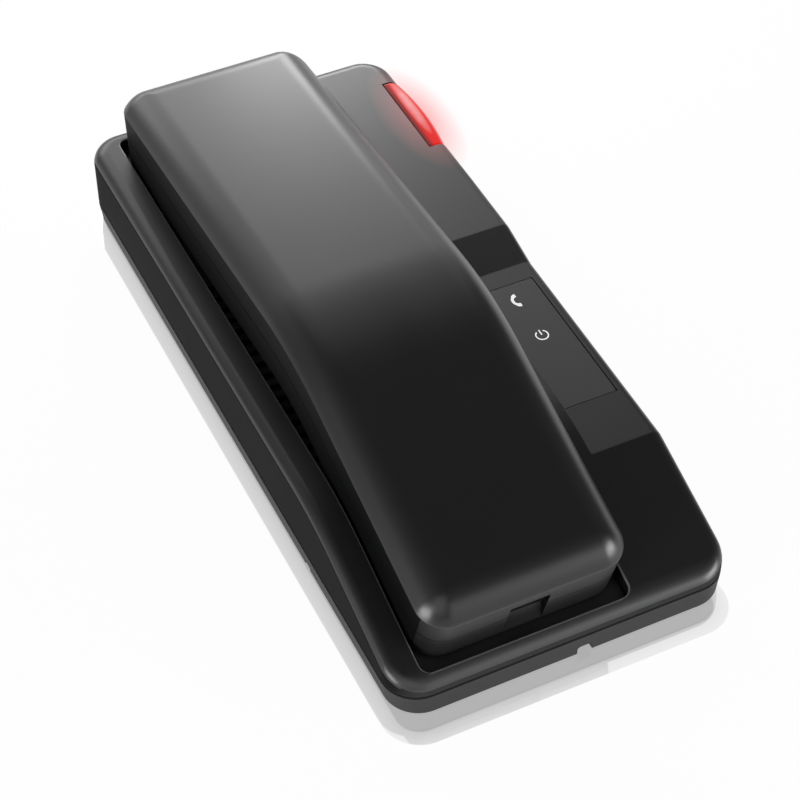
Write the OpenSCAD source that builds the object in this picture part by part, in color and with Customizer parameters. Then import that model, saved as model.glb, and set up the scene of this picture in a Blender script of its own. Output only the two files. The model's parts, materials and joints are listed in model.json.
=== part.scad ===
// Slim corded network telephone lying on its back: a base with a cradle well and an arched handset.
// Frame: +X to the right, +Y towards the earpiece end, +Z out of the face, wall plane at Z = 0.

/* [Base case] */
// Width of the base
case_w = 90; // [86:0.5:100]
// Length of the base
case_l = 200.5; // [196:0.5:215]
// Plan radius of the base corners
corner_r = 9; // [7:0.5:11]
// Height of the line where deck and front slope would meet
deck_z = 25.2; // [24.8:0.1:28]
// Place of that line along the base
slope_y = -52.9; // [-56:0.1:-50]
// Fall of the front slope, degrees
slope_deg = 17.9; // [16:0.1:18.4]
// Fall of the deck towards the earpiece end, degrees
deck_tilt = 0.4; // [0:0.1:0.8]
// Radius of the bend between deck and slope
deck_bend_r = 75; // [50:1:100]
// Radius of the top edges
edge_r = 2.9; // [1.5:0.1:3]
// Radius of the top edge at the earpiece end
edge_back_r = 4.5; // [3:0.1:5]
// Where the edge radius starts to grow
edge_grow_y = 40; // [30:1:60]
// Side wall and deck thickness
wall = 2.2; // [1.8:0.1:2.6]
// How far the long sides of the lower case lean in towards the back
side_draft = 0.6; // [0:0.1:1.3]
// Height of the seam between the two cases
seam_z = 6.3; // [5.8:0.1:6.8]
// Width of the shadow gap at the seams
seam_gap = 0.8; // [0.4:0.1:0.9]
// Height of the locating lip above the seam
lip_h = 1.4; // [0.8:0.1:1.5]
// Thickness of the locating lip
lip_t = 1.2; // [0.8:0.1:1.6]
// Floor thickness of the lower case
floor_t = 2; // [1.6:0.1:2.4]

/* [Indicator shelf] */
// Left edge of the sunk shelf
shelf_x = 25.5; // [24:0.1:27]
// How far the shelf lies below the deck
shelf_drop = 3.15; // [2.5:0.05:4]
// Top of the ramp that leads down to the shelf
ramp_top_y = 18; // [14:0.5:22]
// Run of the ramp
ramp_run = 13; // [8:0.5:16]
// Top edge of the indicator panel
panel_top_y = -1; // [-4:0.1:1]
// Length of the indicator panel
panel_l = 45.3; // [40:0.1:48]
// Width of the indicator panel
panel_w = 15.9; // [14:0.1:16.4]
// Thickness of the indicator panel
panel_t = 1; // [0.8:0.1:1.4]
// Across position of the two lit symbols
symbol_x = 34; // [32:0.1:36]
// Place of the handset symbol below the panel top
symbol_a_drop = 6; // [5:0.5:9]
// Distance between the two symbols
symbol_pitch = 14; // [10:0.5:18]
// Radius of the light guides
guide_r = 2; // [1.5:0.1:2.5]

/* [Cradle well] */
// Centre of the well across the base
well_x = -9.45; // [-10:0.05:-9]
// Width of the well
well_w = 54.9; // [54:0.1:56]
// Upper end of the well
well_top_y = 95; // [94.8:0.1:95.6]
// Front edge of the well
well_front_y = -97; // [-97.6:0.1:-96.4]
// Depth of the well below the level deck
well_depth = 5.2; // [4.8:0.1:5.6]
// Where the well floor starts to fall to the front
well_knee_y = -45; // [-50:0.5:-40]
// Plan radius of the well corners
well_r = 2.5; // [2:0.5:6]
// Thickness of the well floor and walls
well_t = 1.8; // [1.4:0.1:2]
// Number of ringer slots in the well floor
slot_count = 16; // [8:1:18]
// Pitch of the ringer slots
slot_pitch = 4.45; // [4:0.05:4.8]
// Width of one ringer slot
slot_w = 2.2; // [1.6:0.1:2.6]
// Length of the ringer slots
slot_l = 23; // [16:0.5:25]
// Gap from the well side to the slots
slot_edge = 1.3; // [1:0.1:2]

/* [Message lamp] */
// Centre of the lamp along the base
lamp_y = 70.5; // [66:0.5:72]
// Length of the lamp lens
lamp_l = 30; // [26:0.5:32]
// How far the lens bows out of the side
lamp_bulge = 1.4; // [1:0.1:2]
// How far the lens reaches in across the deck
lamp_depth = 5.2; // [4.6:0.1:6]
// Height of the lens on the side
lamp_h = 12; // [10:0.5:14]
// Radius of the lens shoulder
lamp_r = 4; // [3:0.1:4.4]

/* [Handset] */
// Running gap between handset and well sides
handset_gap = 0.7; // [0.5:0.05:0.9]
// Gap under the two ends of the resting handset
rest_gap = 0.3; // [0.25:0.05:0.4]
// Fall of the earpiece limb, degrees
ear_tilt = 4.8; // [4.4:0.1:5.2]
// Fall of the mouthpiece limb, degrees
mouth_tilt = 16.7; // [16.3:0.1:17.1]
// Bend radius of the handset at its seam
handset_bend_r = 77.5; // [70:0.5:85]
// Where the two limbs would meet, along the base
vertex_y = -22.2; // [-23:0.1:-21.5]
// Earpiece limb from that point to its end
ear_len = 117; // [116.4:0.1:117.4]
// Mouthpiece limb from that point to its end
mouth_len = 76.4; // [76:0.1:76.8]
// Height of the outer shell above the seam
shell_up = 13; // [12:0.1:14]
// Depth of the inner shell below the seam
shell_down = 9.5; // [9.2:0.1:10]
// Plan radius of the handset corners
handset_r = 7.5; // [6:0.1:9]
// Width of the rounded shoulder, seen from above
shoulder_w = 8.5; // [7:0.1:8.6]
// Height of the rounded shoulder
shoulder_h = 5.5; // [4:0.1:6]
// Radius of the inner shell's bottom edge
sole_r = 1.2; // [1:0.1:3.5]
// Wall of the handset shells
shell_t = 2; // [1.6:0.1:2.2]

/* [Keypad] */
// Across pitch of the keys
key_pitch_x = 15; // [14.4:0.1:15.2]
// Along pitch of the keys
key_pitch_s = 11; // [10.6:0.1:11.4]
// Width of a key
key_w = 11; // [10:0.1:11.6]
// Length of a digit key
key_l = 8; // [7:0.1:8.4]
// Length of a function key
fn_key_l = 6; // [5:0.1:7]
// Corner radius of the keys
key_r = 1.6; // [0.8:0.1:2]
// How far the keys stand out
key_proud = 1.2; // [0.8:0.1:1.4]
// Travel of the keys
key_travel = 1; // [0.6:0.1:1.2]
// Gap round a key in its hole
key_gap = 0.35; // [0.25:0.05:0.5]
// Lowest key row from the start of the earpiece limb
key_s0 = 12; // [11:0.5:13]

/* [Sockets and inner parts] */
// Width of the network jack
lan_w = 16; // [15:0.1:17]
// Length of the network jack
lan_l = 21; // [18:0.1:22]
// Height of the network jack
lan_h = 11; // [10.6:0.1:11.4]
// Width of a cord jack
cord_jack_w = 11; // [10.5:0.1:12]
// Length of a cord jack
cord_jack_l = 13; // [12:0.1:15]
// Radius of the ringer speaker
speaker_r = 16; // [14:0.1:17]
// Radius of the earpiece receiver
receiver_r = 13.5; // [12:0.1:13.6]
// Radius of the microphone capsule
mic_r = 4.85; // [4:0.05:5]
// Circuit board thickness
board_t = 1.6; // [1.2:0.1:1.6]
// Height of the circuit boards above the wall plane
board_z = 12.4; // [12.4:0.1:12.8]
// Travel of the hook plunger
hook_travel = 3; // [2:0.1:3.2]
// Place of the hook plunger across
hook_x = -26.5; // [-28:0.1:-25]
// Place of the hook plunger along
hook_y = 70; // [66:0.5:74]

/* [Fastening] */
// How far the rubber feet stand below the case
foot_proud = 0.4; // [0.3:0.1:0.8]
// Radius of a rubber foot
foot_r = 5; // [4:0.1:6]
// Distance between the wall keyholes
keyhole_pitch = 80; // [76:0.5:84]
// Radius of a keyhole's head entry
keyhole_r = 4.5; // [4:0.1:5]
// Radius of a keyhole's neck
neck_r = 2.2; // [1.8:0.1:2.5]
// How far the phone drops onto the wall screws
keyhole_drop = 8; // [7:0.5:10]
// Shank radius of the case screws
screw_r = 1.45; // [1.25:0.05:1.6]
// Radial clearance of a screw in its boss
screw_gap = 0.05; // [0.03:0.01:0.1]
// Fit gap between fixed pieces
fit = 0.15; // [0.1:0.05:0.25]
// Running gap round pieces that slide
slide_gap = 0.3; // [0.25:0.05:0.4]

/* [Hidden] */
$fn = 48;

CASE = "#26272a";
LOWER = "#2e2f32";
HANDSET = "#1d1e20";
RUBBER = "#151515";
STEEL = "#b9bcc0";
BOARD = "#1f5a3a";
JACK = "#3a3b3e";
KEY = "#d9dadc";

far = 400;
corner_steps = 6;
bend_steps = 10;
round_steps = 5;

// Base heights and levels
case_z0 = foot_proud;
floor_top = case_z0 + floor_t;
lower_top = seam_z - seam_gap / 2;
draft_land = 0.4;
upper_low = seam_z + seam_gap / 2;
lip_top = seam_z + lip_h;
post_top = lip_top + slide_gap;
lip_in = wall + 0.25;
shelf_z = deck_z - shelf_drop;
well_floor_z = deck_z - well_depth;
well_under_z = well_floor_z - well_t;
half_w = case_w / 2;
half_l = case_l / 2;

// Handset spine: two straight limbs joined by an arc, in the plane of Y and Z
bend_total = ear_tilt + mouth_tilt;
bend_tangent = handset_bend_r * tan(bend_total / 2);
bend_arc = handset_bend_r * bend_total * PI / 180;
handset_half_w = well_w / 2 - handset_gap;
vertex_z = well_floor_z + rest_gap + shell_down * cos(ear_tilt) + ear_len * sin(ear_tilt);
spine_a = [vertex_y + bend_tangent * cos(ear_tilt), vertex_z - bend_tangent * sin(ear_tilt)];
spine_c = spine_a - handset_bend_r * [sin(ear_tilt), cos(ear_tilt)];
s_ear = ear_len - bend_tangent;
s_mouth = -bend_arc - (mouth_len - bend_tangent);
shoulder_r = (shoulder_w * shoulder_w + shoulder_h * shoulder_h) / (2 * shoulder_h);
shoulder_a = asin(shoulder_w / shoulder_r);
inner_v = shell_t - shell_down;

// Tilt of the spine at arc place s
function spine_tilt(s) =
    s >= 0 ? ear_tilt
    : s > -bend_arc ? ear_tilt + s / handset_bend_r * 180 / PI
    : -mouth_tilt;

// Point [y, z] at arc place s and height v above the seam
function spine_point(s, v) =
    let (t = spine_tilt(s), n = [sin(t), cos(t)], d = [cos(t), -sin(t)])
    s >= 0 ? spine_a + s * d + v * n
    : s > -bend_arc ? spine_c + (handset_bend_r + v) * n
    : spine_c + (handset_bend_r + v) * n + (s + bend_arc) * d;

// Lowest point of the mouthpiece end, where the well floor carries it
mouth_seat = spine_point(s_mouth, -shell_down) - [0, rest_gap];
well_fall = (well_floor_z - mouth_seat[1]) / (well_knee_y - mouth_seat[0]);

// Deck height at a place along the base: two straight falls joined by an arc
deck_tangent = deck_bend_r * tan((slope_deg + deck_tilt) / 2);
deck_c = [slope_y + deck_tangent * cos(deck_tilt) - deck_bend_r * sin(deck_tilt),
          deck_z - deck_tangent * sin(deck_tilt) - deck_bend_r * cos(deck_tilt)];
deck_stations = [for (i = [0 : bend_steps])
    deck_c[0] + deck_bend_r * sin(-slope_deg + (slope_deg + deck_tilt) * i / bend_steps)];
function deck_at(y) =
    y >= deck_stations[bend_steps] ? deck_z - (y - slope_y) * tan(deck_tilt)
    : y > deck_stations[0] ? deck_c[1] + sqrt(pow(deck_bend_r, 2) - pow(y - deck_c[0], 2))
    : deck_z - (slope_y - y) * tan(slope_deg);

// Radius of the top edge at a place along the base
function edge_at(y) =
    edge_r + (edge_back_r - edge_r) * max(0, min(1, (y - edge_grow_y) / (half_l - edge_grow_y)));

// Screw posts of the base
post_r = 3.8;
post_inset = 5;
post_back = 7.75;
post_front = 22.25;
boss_h = 5.6;
screw_head_r = 2.8;
screw_head_h = 1.8;
screw_seat = floor_top + 0.2;
case_posts = [for (s = [-1, 1], y = [half_l - post_back, -half_l + post_front]) [s * (half_w - post_inset), y]];

// Rear pocket for the plugs, with the jacks behind its upper wall
pocket = [-2, 3, 38, 27];
pocket_wall = 1.6;
pocket_top = board_z - 0.8;
jack_y = pocket[1] + pocket[3];
lan_x = 11;
base_cord_x = 27.5;
cord_jack_h = 8;
channel_x = 4.1;
channel_w = 4;
channel_h = 2.3;
channel_r = 1;

// Boards of the base
lamp_tongue = 3;
lamp_room = 1.8;
switch_size = [12.8, 5.8, 6.5];
switch_room = 2.1;
main_board_l = 54;
jack_overhang = 3;
screw_lift = 3;
screw_crown = 0.5;
screw_cap_h = 1.2;
main_board_at = [hook_x + switch_size[0] / 2 + switch_room, jack_y + jack_overhang];
main_board_size = [half_w - lamp_depth - lamp_tongue - lamp_room - main_board_at[0], main_board_l];
peg_r = 1.2;
board_post_r = 3;
board_inset = 4;
board_posts = [
    main_board_at + [board_inset, board_inset],
    main_board_at + [board_inset, main_board_size[1] - board_inset],
    main_board_at + main_board_size - [board_inset, board_inset],
    main_board_at + [main_board_size[0] - board_inset, main_board_size[1] / 2 - board_inset]];
indicator_size = [17, 41];
indicator_at = [half_w - wall - 1.8 - indicator_size[0], panel_top_y - 2 - indicator_size[1]];
indicator_posts = [
    indicator_at + [board_inset, board_inset],
    indicator_at + [indicator_size[0] - board_inset, indicator_size[1] / 2]];
led_h = 1.2;
led_w = 2.6;
symbols = [for (k = [0, 1]) [symbol_x, panel_top_y - symbol_a_drop - k * symbol_pitch]];
lamp_top = deck_at(lamp_y);
lamp_board_t = 1.2;
lamp_board_x = main_board_at[0] + main_board_size[0] - lamp_board_t - 0.2;

// Ringer and hook
speaker_at = [well_x - well_w / 2 + speaker_r, 0];
gasket_t = 1;
speaker_rim = 2.4;
speaker_basket = 6;
speaker_h = 10;
hook_size = [8, 6];
hook_face_z = spine_point((hook_y - spine_a[0]) / cos(ear_tilt), -shell_down)[1] - rest_gap
    - hook_size[1] / 2 * tan(ear_tilt);
hook_flange = 1.2;
hook_flange_z = well_under_z - hook_travel - rest_gap - hook_flange;
switch_z = floor_top + 1;
tab_size = [10, 2.4];
tab_rise = 2.2;
tab_back = 12.25;
tab_y = half_l - tab_back;

// Feet and keyholes
foot_sink = 0.8;
foot_inset = [12, 34];
feet = [for (x = [-1, 1], y = [-1, 1]) [x * (half_w - foot_inset[0]), y * (half_l - foot_inset[1])]];
keyhole_x = -22;
pry_y = -48.3;
pry_size = [1.9, 3, 1.2];

// Handset inner parts, placed along the limbs
key_flange = 1;
flange_w = 0.8;
flange_gap = 0.2;
board_v = inner_v + flange_gap + key_flange + key_travel + 1.7;
membrane_t = 1;
membrane_s = [key_s0 - 6, key_s0 + 4 * key_pitch_s + 6];
board_margin = 5;
board_half_w = handset_half_w - shell_t - 1.3;
ear_post_r = 1.8;
receiver_s = s_ear - shell_t - receiver_r - 3;
receiver_h = 6.4;
seal_t = 0.6;
mic_s = s_mouth + 24;
boot_t = 1.3;
boot_floor = 0.5;
mic_h = 4.7;
handset_screw_x = 16;
handset_screw_s = s_mouth + 20;
handset_boss_v = inner_v + 1.5;
handset_boss_r = 3.2;
handset_screw_r = 1.25;
handset_screw_l = 9;
handset_head_r = 2.55;
handset_seat = 1.8 - shell_down;
jack_notch_w = 10.4;
jack_mouth = [7.7, 5.8, 10];
inner_chamfer = 0.4;
jack_lift = 5.3;
jack_v = inner_v + jack_lift;
notch_low = jack_v + 1;
notch_top = jack_v + 7.2;
jack_s = s_mouth + shell_t + inner_chamfer + 0.1;
ballast_size = [30, 44, 3];
ballast_s = 32;

// A solid skinned over a stack of loops, closed at both ends by strips from side to side
module stack(loops) {
    n = len(loops[0]);
    h = n / 2;
    m = len(loops) - 1;
    sides = [for (k = [0 : m - 1], i = [0 : n - 1]) let (j = (i + 1) % n)
        each [[k * n + i, k * n + n + i, k * n + n + j], [k * n + i, k * n + n + j, k * n + j]]];
    first = [for (i = [0 : h - 2]) let (a = n - 1 - i, b = n - 2 - i)
        each [[i, i + 1, b], [i, b, a]]];
    last = [for (i = [0 : h - 2]) let (o = m * n, a = n - 1 - i, b = n - 2 - i)
        each [[o + i, o + b, o + i + 1], [o + i, o + a, o + b]]];
    polyhedron(points = [for (l = loops) each l], faces = concat(sides, first, last), convexity = 8);
}

// Plan stations of a rounded rectangle's right side, front to back, each with its outward direction
function side(hw, y0, y1, r, mids) = concat(
    [for (i = [0 : corner_steps]) let (a = -90 + 90 * i / corner_steps)
        [hw - r + r * cos(a), y0 + r + r * sin(a), cos(a), sin(a)]],
    [for (m = mids) [hw, m, 1, 0]],
    [for (i = [0 : corner_steps]) let (a = 90 * i / corner_steps)
        [hw - r + r * cos(a), y1 - r + r * sin(a), cos(a), sin(a)]]);

// Both sides of that outline: up the right side and down the left
function round_loop(hw, y0, y1, r, mids) =
    let (s = side(hw, y0, y1, r, mids), n = len(s))
    concat(s, [for (i = [1 : n]) let (p = s[n - i]) [-p[0], p[1], -p[2], p[3]]]);

case_outline = round_loop(half_w, -half_l, half_l, corner_r, concat(deck_stations, [edge_grow_y]));

// A ring of the base's rounded top edge, from the wall at 0 degrees to the deck at 90
function case_loop(a) =
    [for (p = case_outline)
        let (e = edge_at(p[1]), in = e * (1 - cos(a)), y = p[1] - in * p[3])
        [p[0] - in * p[2], y, deck_at(y) - e * (1 - sin(a))]];

// A loop of the handset, inset from its outline, at a height above the seam
function handset_loop(inset, v) =
    let (mids = [for (i = [0 : bend_steps]) -bend_arc * (1 - i / bend_steps)])
    [for (p = round_loop(handset_half_w - inset, s_mouth + inset, s_ear - inset,
                         max(handset_r - inset, 0.4), mids))
        let (q = spine_point(p[1], v)) [well_x + p[0], q[0], q[1]]];

module rounded(w, l, r) {
    square([w - 2 * r, l], center = true);
    square([w, l - 2 * r], center = true);
    for (x = [-1, 1], y = [-1, 1]) translate([x * (w / 2 - r), y * (l / 2 - r)]) circle(r);
}

// A side profile of [y, z] points carried across the base
module across(points, x0, x1) {
    translate([x0, 0, 0]) rotate([90, 0, 90]) linear_extrude(x1 - x0) polygon(points);
}

module case_prism(inset, z0, z1) {
    translate([0, 0, z0]) linear_extrude(z1 - z0)
        rounded(case_w - 2 * inset, case_l - 2 * inset, corner_r - inset);
}

module at_ear(x, s) {
    p = spine_point(s, 0);
    translate([well_x + x, p[0], p[1]]) rotate([-ear_tilt, 0, 0]) children();
}

module at_mouth(x, s) {
    p = spine_point(s, 0);
    translate([well_x + x, p[0], p[1]]) rotate([mouth_tilt, 0, 0]) children();
}

module tube(r, z0, z1) {
    translate([0, 0, z0]) cylinder(r = r, h = z1 - z0);
}

module block(w, l, z0, z1) {
    translate([-w / 2, -l / 2, z0]) cube([w, l, z1 - z0]);
}

// The space above the well floor, grown outwards for the walls round it
module well_space(grow) {
    floor_pts = [
        [well_top_y + grow, well_floor_z - grow],
        [well_knee_y, well_floor_z - grow],
        [well_front_y - grow, well_floor_z - grow - well_fall * (well_knee_y - well_front_y + grow)]];
    intersection() {
        translate([well_x, (well_top_y + well_front_y) / 2, 0]) linear_extrude(far)
            rounded(well_w + 2 * grow, well_top_y - well_front_y + 2 * grow, well_r + grow);
        across(concat(floor_pts, [[-far, floor_pts[2][1]], [-far, far], [well_top_y + grow, far]]), -far, far);
    }
}

// The space above the shelf and its ramp
ramp = [[ramp_top_y, deck_at(ramp_top_y)], [ramp_top_y - ramp_run, shelf_z], [-far, shelf_z]];

module shelf_room() {
    across(concat([for (p = ramp) p + [wall, -wall]], [[-far, far], [ramp_top_y + wall, far]]),
           shelf_x - wall, far);
}

// The cut that leaves the shelf, rounded over at the side of the base
module shelf_cut() {
    reach = 2;
    last = 70;
    low = concat([[shelf_x, 0]],
        [for (i = [0 : round_steps]) let (a = last * i / round_steps)
            [half_w - edge_r * (1 - sin(a)), -edge_r * (1 - cos(a))]],
        [[half_w - edge_r * (1 - sin(last)) + reach * cos(last), -edge_r * (1 - cos(last)) - reach * sin(last)],
         [half_w + reach, -edge_r * (1 - cos(last)) - reach * sin(last)]]);
    n = len(low);
    top = 2 * deck_z;
    stack([for (p = ramp) concat([for (q = low) [q[0], p[0], p[1] + q[1]]],
                                 [for (i = [1 : n]) [low[n - i][0], p[0], top]])]);
}

module case_body() {
    rim = [for (p = case_outline) [p[0], p[1], upper_low]];
    stack(concat([rim], [for (i = [0 : round_steps]) case_loop(90 * i / round_steps)]));
}

module case_cavity() {
    under = [for (y = concat([-half_l], deck_stations, [half_l])) [y, deck_at(y) - wall]];
    difference() {
        intersection() {
            case_prism(wall, 0, far);
            across(concat(under, [[half_l, -far], [-half_l, -far]]), -far, far);
        }
        well_space(well_t);
        shelf_room();
    }
}

// The lens seen from above is bowed, and its shoulder is rounded
module lamp_shape() {
    bow_r = (pow(lamp_l / 2, 2) + pow(lamp_bulge, 2)) / (2 * lamp_bulge);
    low = lamp_top - lamp_h;
    intersection() {
        translate([half_w + lamp_bulge - bow_r, lamp_y, 0]) cylinder(r = bow_r, h = far);
        translate([0, lamp_y + lamp_l / 2, 0]) rotate([90, 0, 0]) linear_extrude(lamp_l) difference() {
            translate([half_w - lamp_depth, low]) square([lamp_depth + lamp_bulge, lamp_h]);
            translate([half_w + lamp_bulge - lamp_r, lamp_top - lamp_r]) difference() {
                square(2 * lamp_r);
                circle(lamp_r);
            }
        }
    }
}

module base_upper_case() {
    slot_x = well_x - well_w / 2 + slot_edge;
    color(CASE) difference() {
        union() {
            difference() {
                case_body();
                case_cavity();
            }
            for (p = case_posts) translate([p[0], p[1], 0]) tube(post_r, post_top, deck_at(p[1]) - wall + 0.4);
        }
        well_space(0);
        shelf_cut();
        for (p = case_posts) translate([p[0], p[1], 0]) tube(screw_r + screw_gap, -1, post_top + boss_h);
        translate([shelf_x, panel_top_y - panel_l - fit, shelf_z - panel_t])
            cube([panel_w + 2 * fit, panel_l + 2 * fit, far]);
        for (p = symbols) translate([p[0], p[1], 0]) tube(guide_r + fit, board_z, deck_z);
        translate([half_w - lamp_depth - fit, lamp_y - lamp_l / 2 - fit, lamp_top - lamp_h - fit])
            cube([far, lamp_l + 2 * fit, far]);
        for (i = [0 : slot_count - 1])
            translate([slot_x, (i - (slot_count - 1) / 2) * slot_pitch - slot_w / 2, well_under_z - 1])
                cube([slot_l, slot_w, well_t + 2]);
        translate([hook_x, hook_y, 0])
            block(hook_size[0] + 2 * slide_gap, hook_size[1] + 2 * slide_gap, board_z, deck_z);
        translate([well_x, tab_y, 0]) block(tab_size[0] + 2 * fit, tab_size[1] + 2 * fit, board_z, deck_z);
    }
}

module keyhole() {
    tube(keyhole_r, -1, floor_top + 1);
    tube_z = floor_top + 2;
    translate([0, keyhole_drop, -1]) cylinder(r = neck_r, h = tube_z);
    translate([-neck_r, 0, -1]) cube([2 * neck_r, keyhole_drop, tube_z]);
}

module jack_window(x, w, z0, z1) {
    translate([x - w / 2 - fit, jack_y - 1, z0 - fit]) cube([w + 2 * fit, pocket_wall + 2, z1 - z0 + 2 * fit]);
}

// Way for the handset cord from the plug pocket to the front, with a rounded roof
module cord_channel() {
    translate([channel_x, pocket[1] + 1, 0]) rotate([90, 0, 0]) hull() {
        translate([-channel_w / 2, -1, 0]) cube([channel_w, 1, far + pocket[1] + 1]);
        for (k = [-1, 1]) translate([k * (channel_w / 2 - channel_r), case_z0 + channel_h - channel_r, 0])
            cylinder(r = channel_r, h = far + pocket[1] + 1);
    }
}

// Outside of the lower case, with its two leaning long sides
module lower_outside() {
    hull() {
        case_prism(0, lower_top - draft_land, lower_top);
        scale([1 - side_draft / half_w, 1, 1]) case_prism(0, case_z0, case_z0 + draft_land);
    }
}

module base_lower_case() {
    color(LOWER) difference() {
        union() {
            difference() {
                lower_outside();
                case_prism(wall, floor_top, far);
            }
            difference() {
                case_prism(lip_in, floor_top - 0.5, lip_top);
                case_prism(lip_in + lip_t, 0, far);
                well_space(well_t + slide_gap);
            }
            intersection() {
                case_prism(lip_in, case_z0, far);
                for (p = case_posts) translate([p[0], p[1], 0]) tube(post_r, case_z0, post_top);
            }
            for (p = board_posts) translate([p[0], p[1], 0]) tube(board_post_r, case_z0, board_z);
            for (p = indicator_posts) translate([p[0], p[1], 0]) {
                tube(board_post_r, case_z0, board_z);
                tube(peg_r, case_z0, board_z + board_t);
            }
            translate([pocket[0] - pocket_wall, pocket[1] - pocket_wall, case_z0])
                cube([pocket[2] + 2 * pocket_wall, pocket[3] + 2 * pocket_wall, pocket_top + pocket_wall - case_z0]);
            translate([channel_x - channel_w / 2 - pocket_wall, -half_l + wall, case_z0])
                cube([channel_w + 2 * pocket_wall, half_l - wall + pocket[1], channel_h + pocket_wall]);
            translate([hook_x, hook_y, 0]) block(switch_size[0], switch_size[1], case_z0, switch_z);
        }
        translate([pocket[0], pocket[1], -1]) cube([pocket[2], pocket[3], pocket_top + 1]);
        cord_channel();
        jack_window(lan_x, lan_w, board_z - lan_h, board_z);
        translate([lan_x - lan_w / 2 - fit, jack_y - 1, -1]) cube([lan_w + 2 * fit, lan_l + 1 + fit, floor_top + 1]);
        jack_window(base_cord_x, cord_jack_w, board_z - cord_jack_h, board_z);
        for (p = case_posts) translate([p[0], p[1], 0]) {
            tube(screw_r + 2 * screw_gap, -1, far);
            tube(screw_head_r + fit, -1, screw_seat);
        }
        for (p = board_posts) translate([p[0], p[1], 0]) tube(peg_r + screw_gap, floor_top + 2, far);
        for (p = feet) translate([p[0], p[1], 0]) tube(foot_r + fit, -1, case_z0 + foot_sink);
        for (k = [-1, 1]) translate([keyhole_x, k * keyhole_pitch / 2, 0]) keyhole();
        translate([pry_size[0] - half_w - far, pry_y - pry_size[1] / 2, -1])
            cube([far, pry_size[1], case_z0 + pry_size[2] + 1]);
    }
}

module rubber_feet() {
    color(RUBBER) for (p = feet) translate([p[0], p[1], 0]) tube(foot_r, 0, case_z0 + foot_sink);
}

module case_screws() {
    color(STEEL) for (p = case_posts) translate([p[0], p[1], 0]) difference() {
        union() {
            tube(screw_head_r, screw_seat - screw_head_h, screw_seat);
            tube(screw_r, screw_seat - 0.5, post_top + boss_h - slide_gap);
        }
        for (a = [0, 90]) rotate(a) block(3, 0.8, 0, screw_seat - screw_head_h / 2);
    }
}

module main_board() {
    color(BOARD) difference() {
        translate([main_board_at[0], main_board_at[1], board_z])
            cube([main_board_size[0], main_board_size[1], board_t]);
        for (p = board_posts) translate([p[0], p[1], 0]) tube(peg_r + 2 * screw_gap, 0, far);
    }
}

module board_screws() {
    color(STEEL) for (p = board_posts) translate([p[0], p[1], 0]) {
        tube(peg_r, floor_top + screw_lift, board_z + board_t + screw_crown);
        tube(2 * peg_r, board_z + board_t, board_z + board_t + screw_cap_h);
    }
}

// A modular jack body with its mouth on the -Y face
module jack_body(w, l, h, mouth) {
    difference() {
        translate([-w / 2, 0, 0]) cube([w, l, h]);
        translate([-mouth[0] / 2, -1, (h - mouth[1]) / 2]) cube([mouth[0], mouth[2] + 1, mouth[1]]);
    }
}

module lan_jack() {
    color(JACK) translate([lan_x, jack_y, board_z - lan_h]) jack_body(lan_w, lan_l, lan_h, [11.8, 8, 13]);
}

module base_cord_jack() {
    color(JACK) translate([base_cord_x, jack_y, board_z - cord_jack_h])
        jack_body(cord_jack_w, cord_jack_l, cord_jack_h, jack_mouth);
}

module ringer_speaker() {
    top = well_under_z - gasket_t;
    color("#303236") translate([speaker_at[0], speaker_at[1], 0]) difference() {
        union() {
            tube(speaker_r, top - speaker_rim, top);
            tube(speaker_r - 2, top - speaker_basket, top);
            tube(speaker_r * 0.6, top - speaker_h, top);
        }
        translate([0, 0, top - 2]) cylinder(r1 = speaker_r * 0.35, r2 = speaker_r - 2.5, h = 2.1);
    }
}

module ringer_gasket() {
    color(RUBBER) translate([speaker_at[0], speaker_at[1], 0]) difference() {
        tube(speaker_r, well_under_z - gasket_t, well_under_z);
        tube(speaker_r - 2.5, 0, far);
    }
}

module hook_plunger() {
    color(CASE) translate([hook_x, hook_y, 0]) {
        block(hook_size[0], hook_size[1], hook_flange_z, hook_face_z);
        block(hook_size[0] + 3, hook_size[1] + 2, hook_flange_z, hook_flange_z + hook_flange);
        tube(1.5, switch_z + switch_size[2] + 0.9, hook_flange_z + 0.5);
    }
}

module hook_switch() {
    color(JACK) translate([hook_x, hook_y, 0]) {
        block(switch_size[0], switch_size[1], switch_z, switch_z + switch_size[2]);
        tube(1.2, switch_z, switch_z + switch_size[2] + 0.6);
    }
}

module wall_rest_tab() {
    color(CASE) translate([well_x, tab_y, 0]) {
        block(tab_size[0], tab_size[1], well_under_z - 1.4, well_floor_z + tab_rise);
        block(tab_size[0] + 4, tab_size[1] + 4, well_under_z - 1.4, well_under_z);
    }
}

module message_lamp_lens() {
    color("#d8281f") {
        lamp_shape();
        translate([half_w - lamp_depth - lamp_tongue, lamp_y - lamp_l / 2, lamp_top - wall - 1.8])
            cube([lamp_tongue + 1, lamp_l, 1.5]);
    }
}

module lamp_light_board() {
    rise = lamp_top - wall - 2.4;
    color(BOARD) translate([lamp_board_x, lamp_y - lamp_l / 2 + 3, board_z + board_t])
        cube([lamp_board_t, lamp_l - 6, rise - board_z - board_t]);
    color("#f4f0e6") for (k = [-1 : 1])
        translate([lamp_board_x + lamp_board_t, lamp_y + k * lamp_l / 4 - led_w / 2, rise - 4])
            cube([led_h, led_w, led_w]);
}

module indicator_panel() {
    color("#3c3d41") translate([shelf_x + fit, panel_top_y - panel_l, shelf_z - panel_t])
        cube([panel_w, panel_l, panel_t]);
}

module indicator_board() {
    color(BOARD) difference() {
        translate([indicator_at[0], indicator_at[1], board_z])
            cube([indicator_size[0], indicator_size[1], board_t]);
        for (p = indicator_posts) translate([p[0], p[1], 0]) tube(peg_r + screw_gap, 0, far);
    }
    color("#f4f0e6") for (p = symbols) translate([p[0], p[1], 0])
        block(led_w, led_w, board_z + board_t, board_z + board_t + led_h);
}

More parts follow.
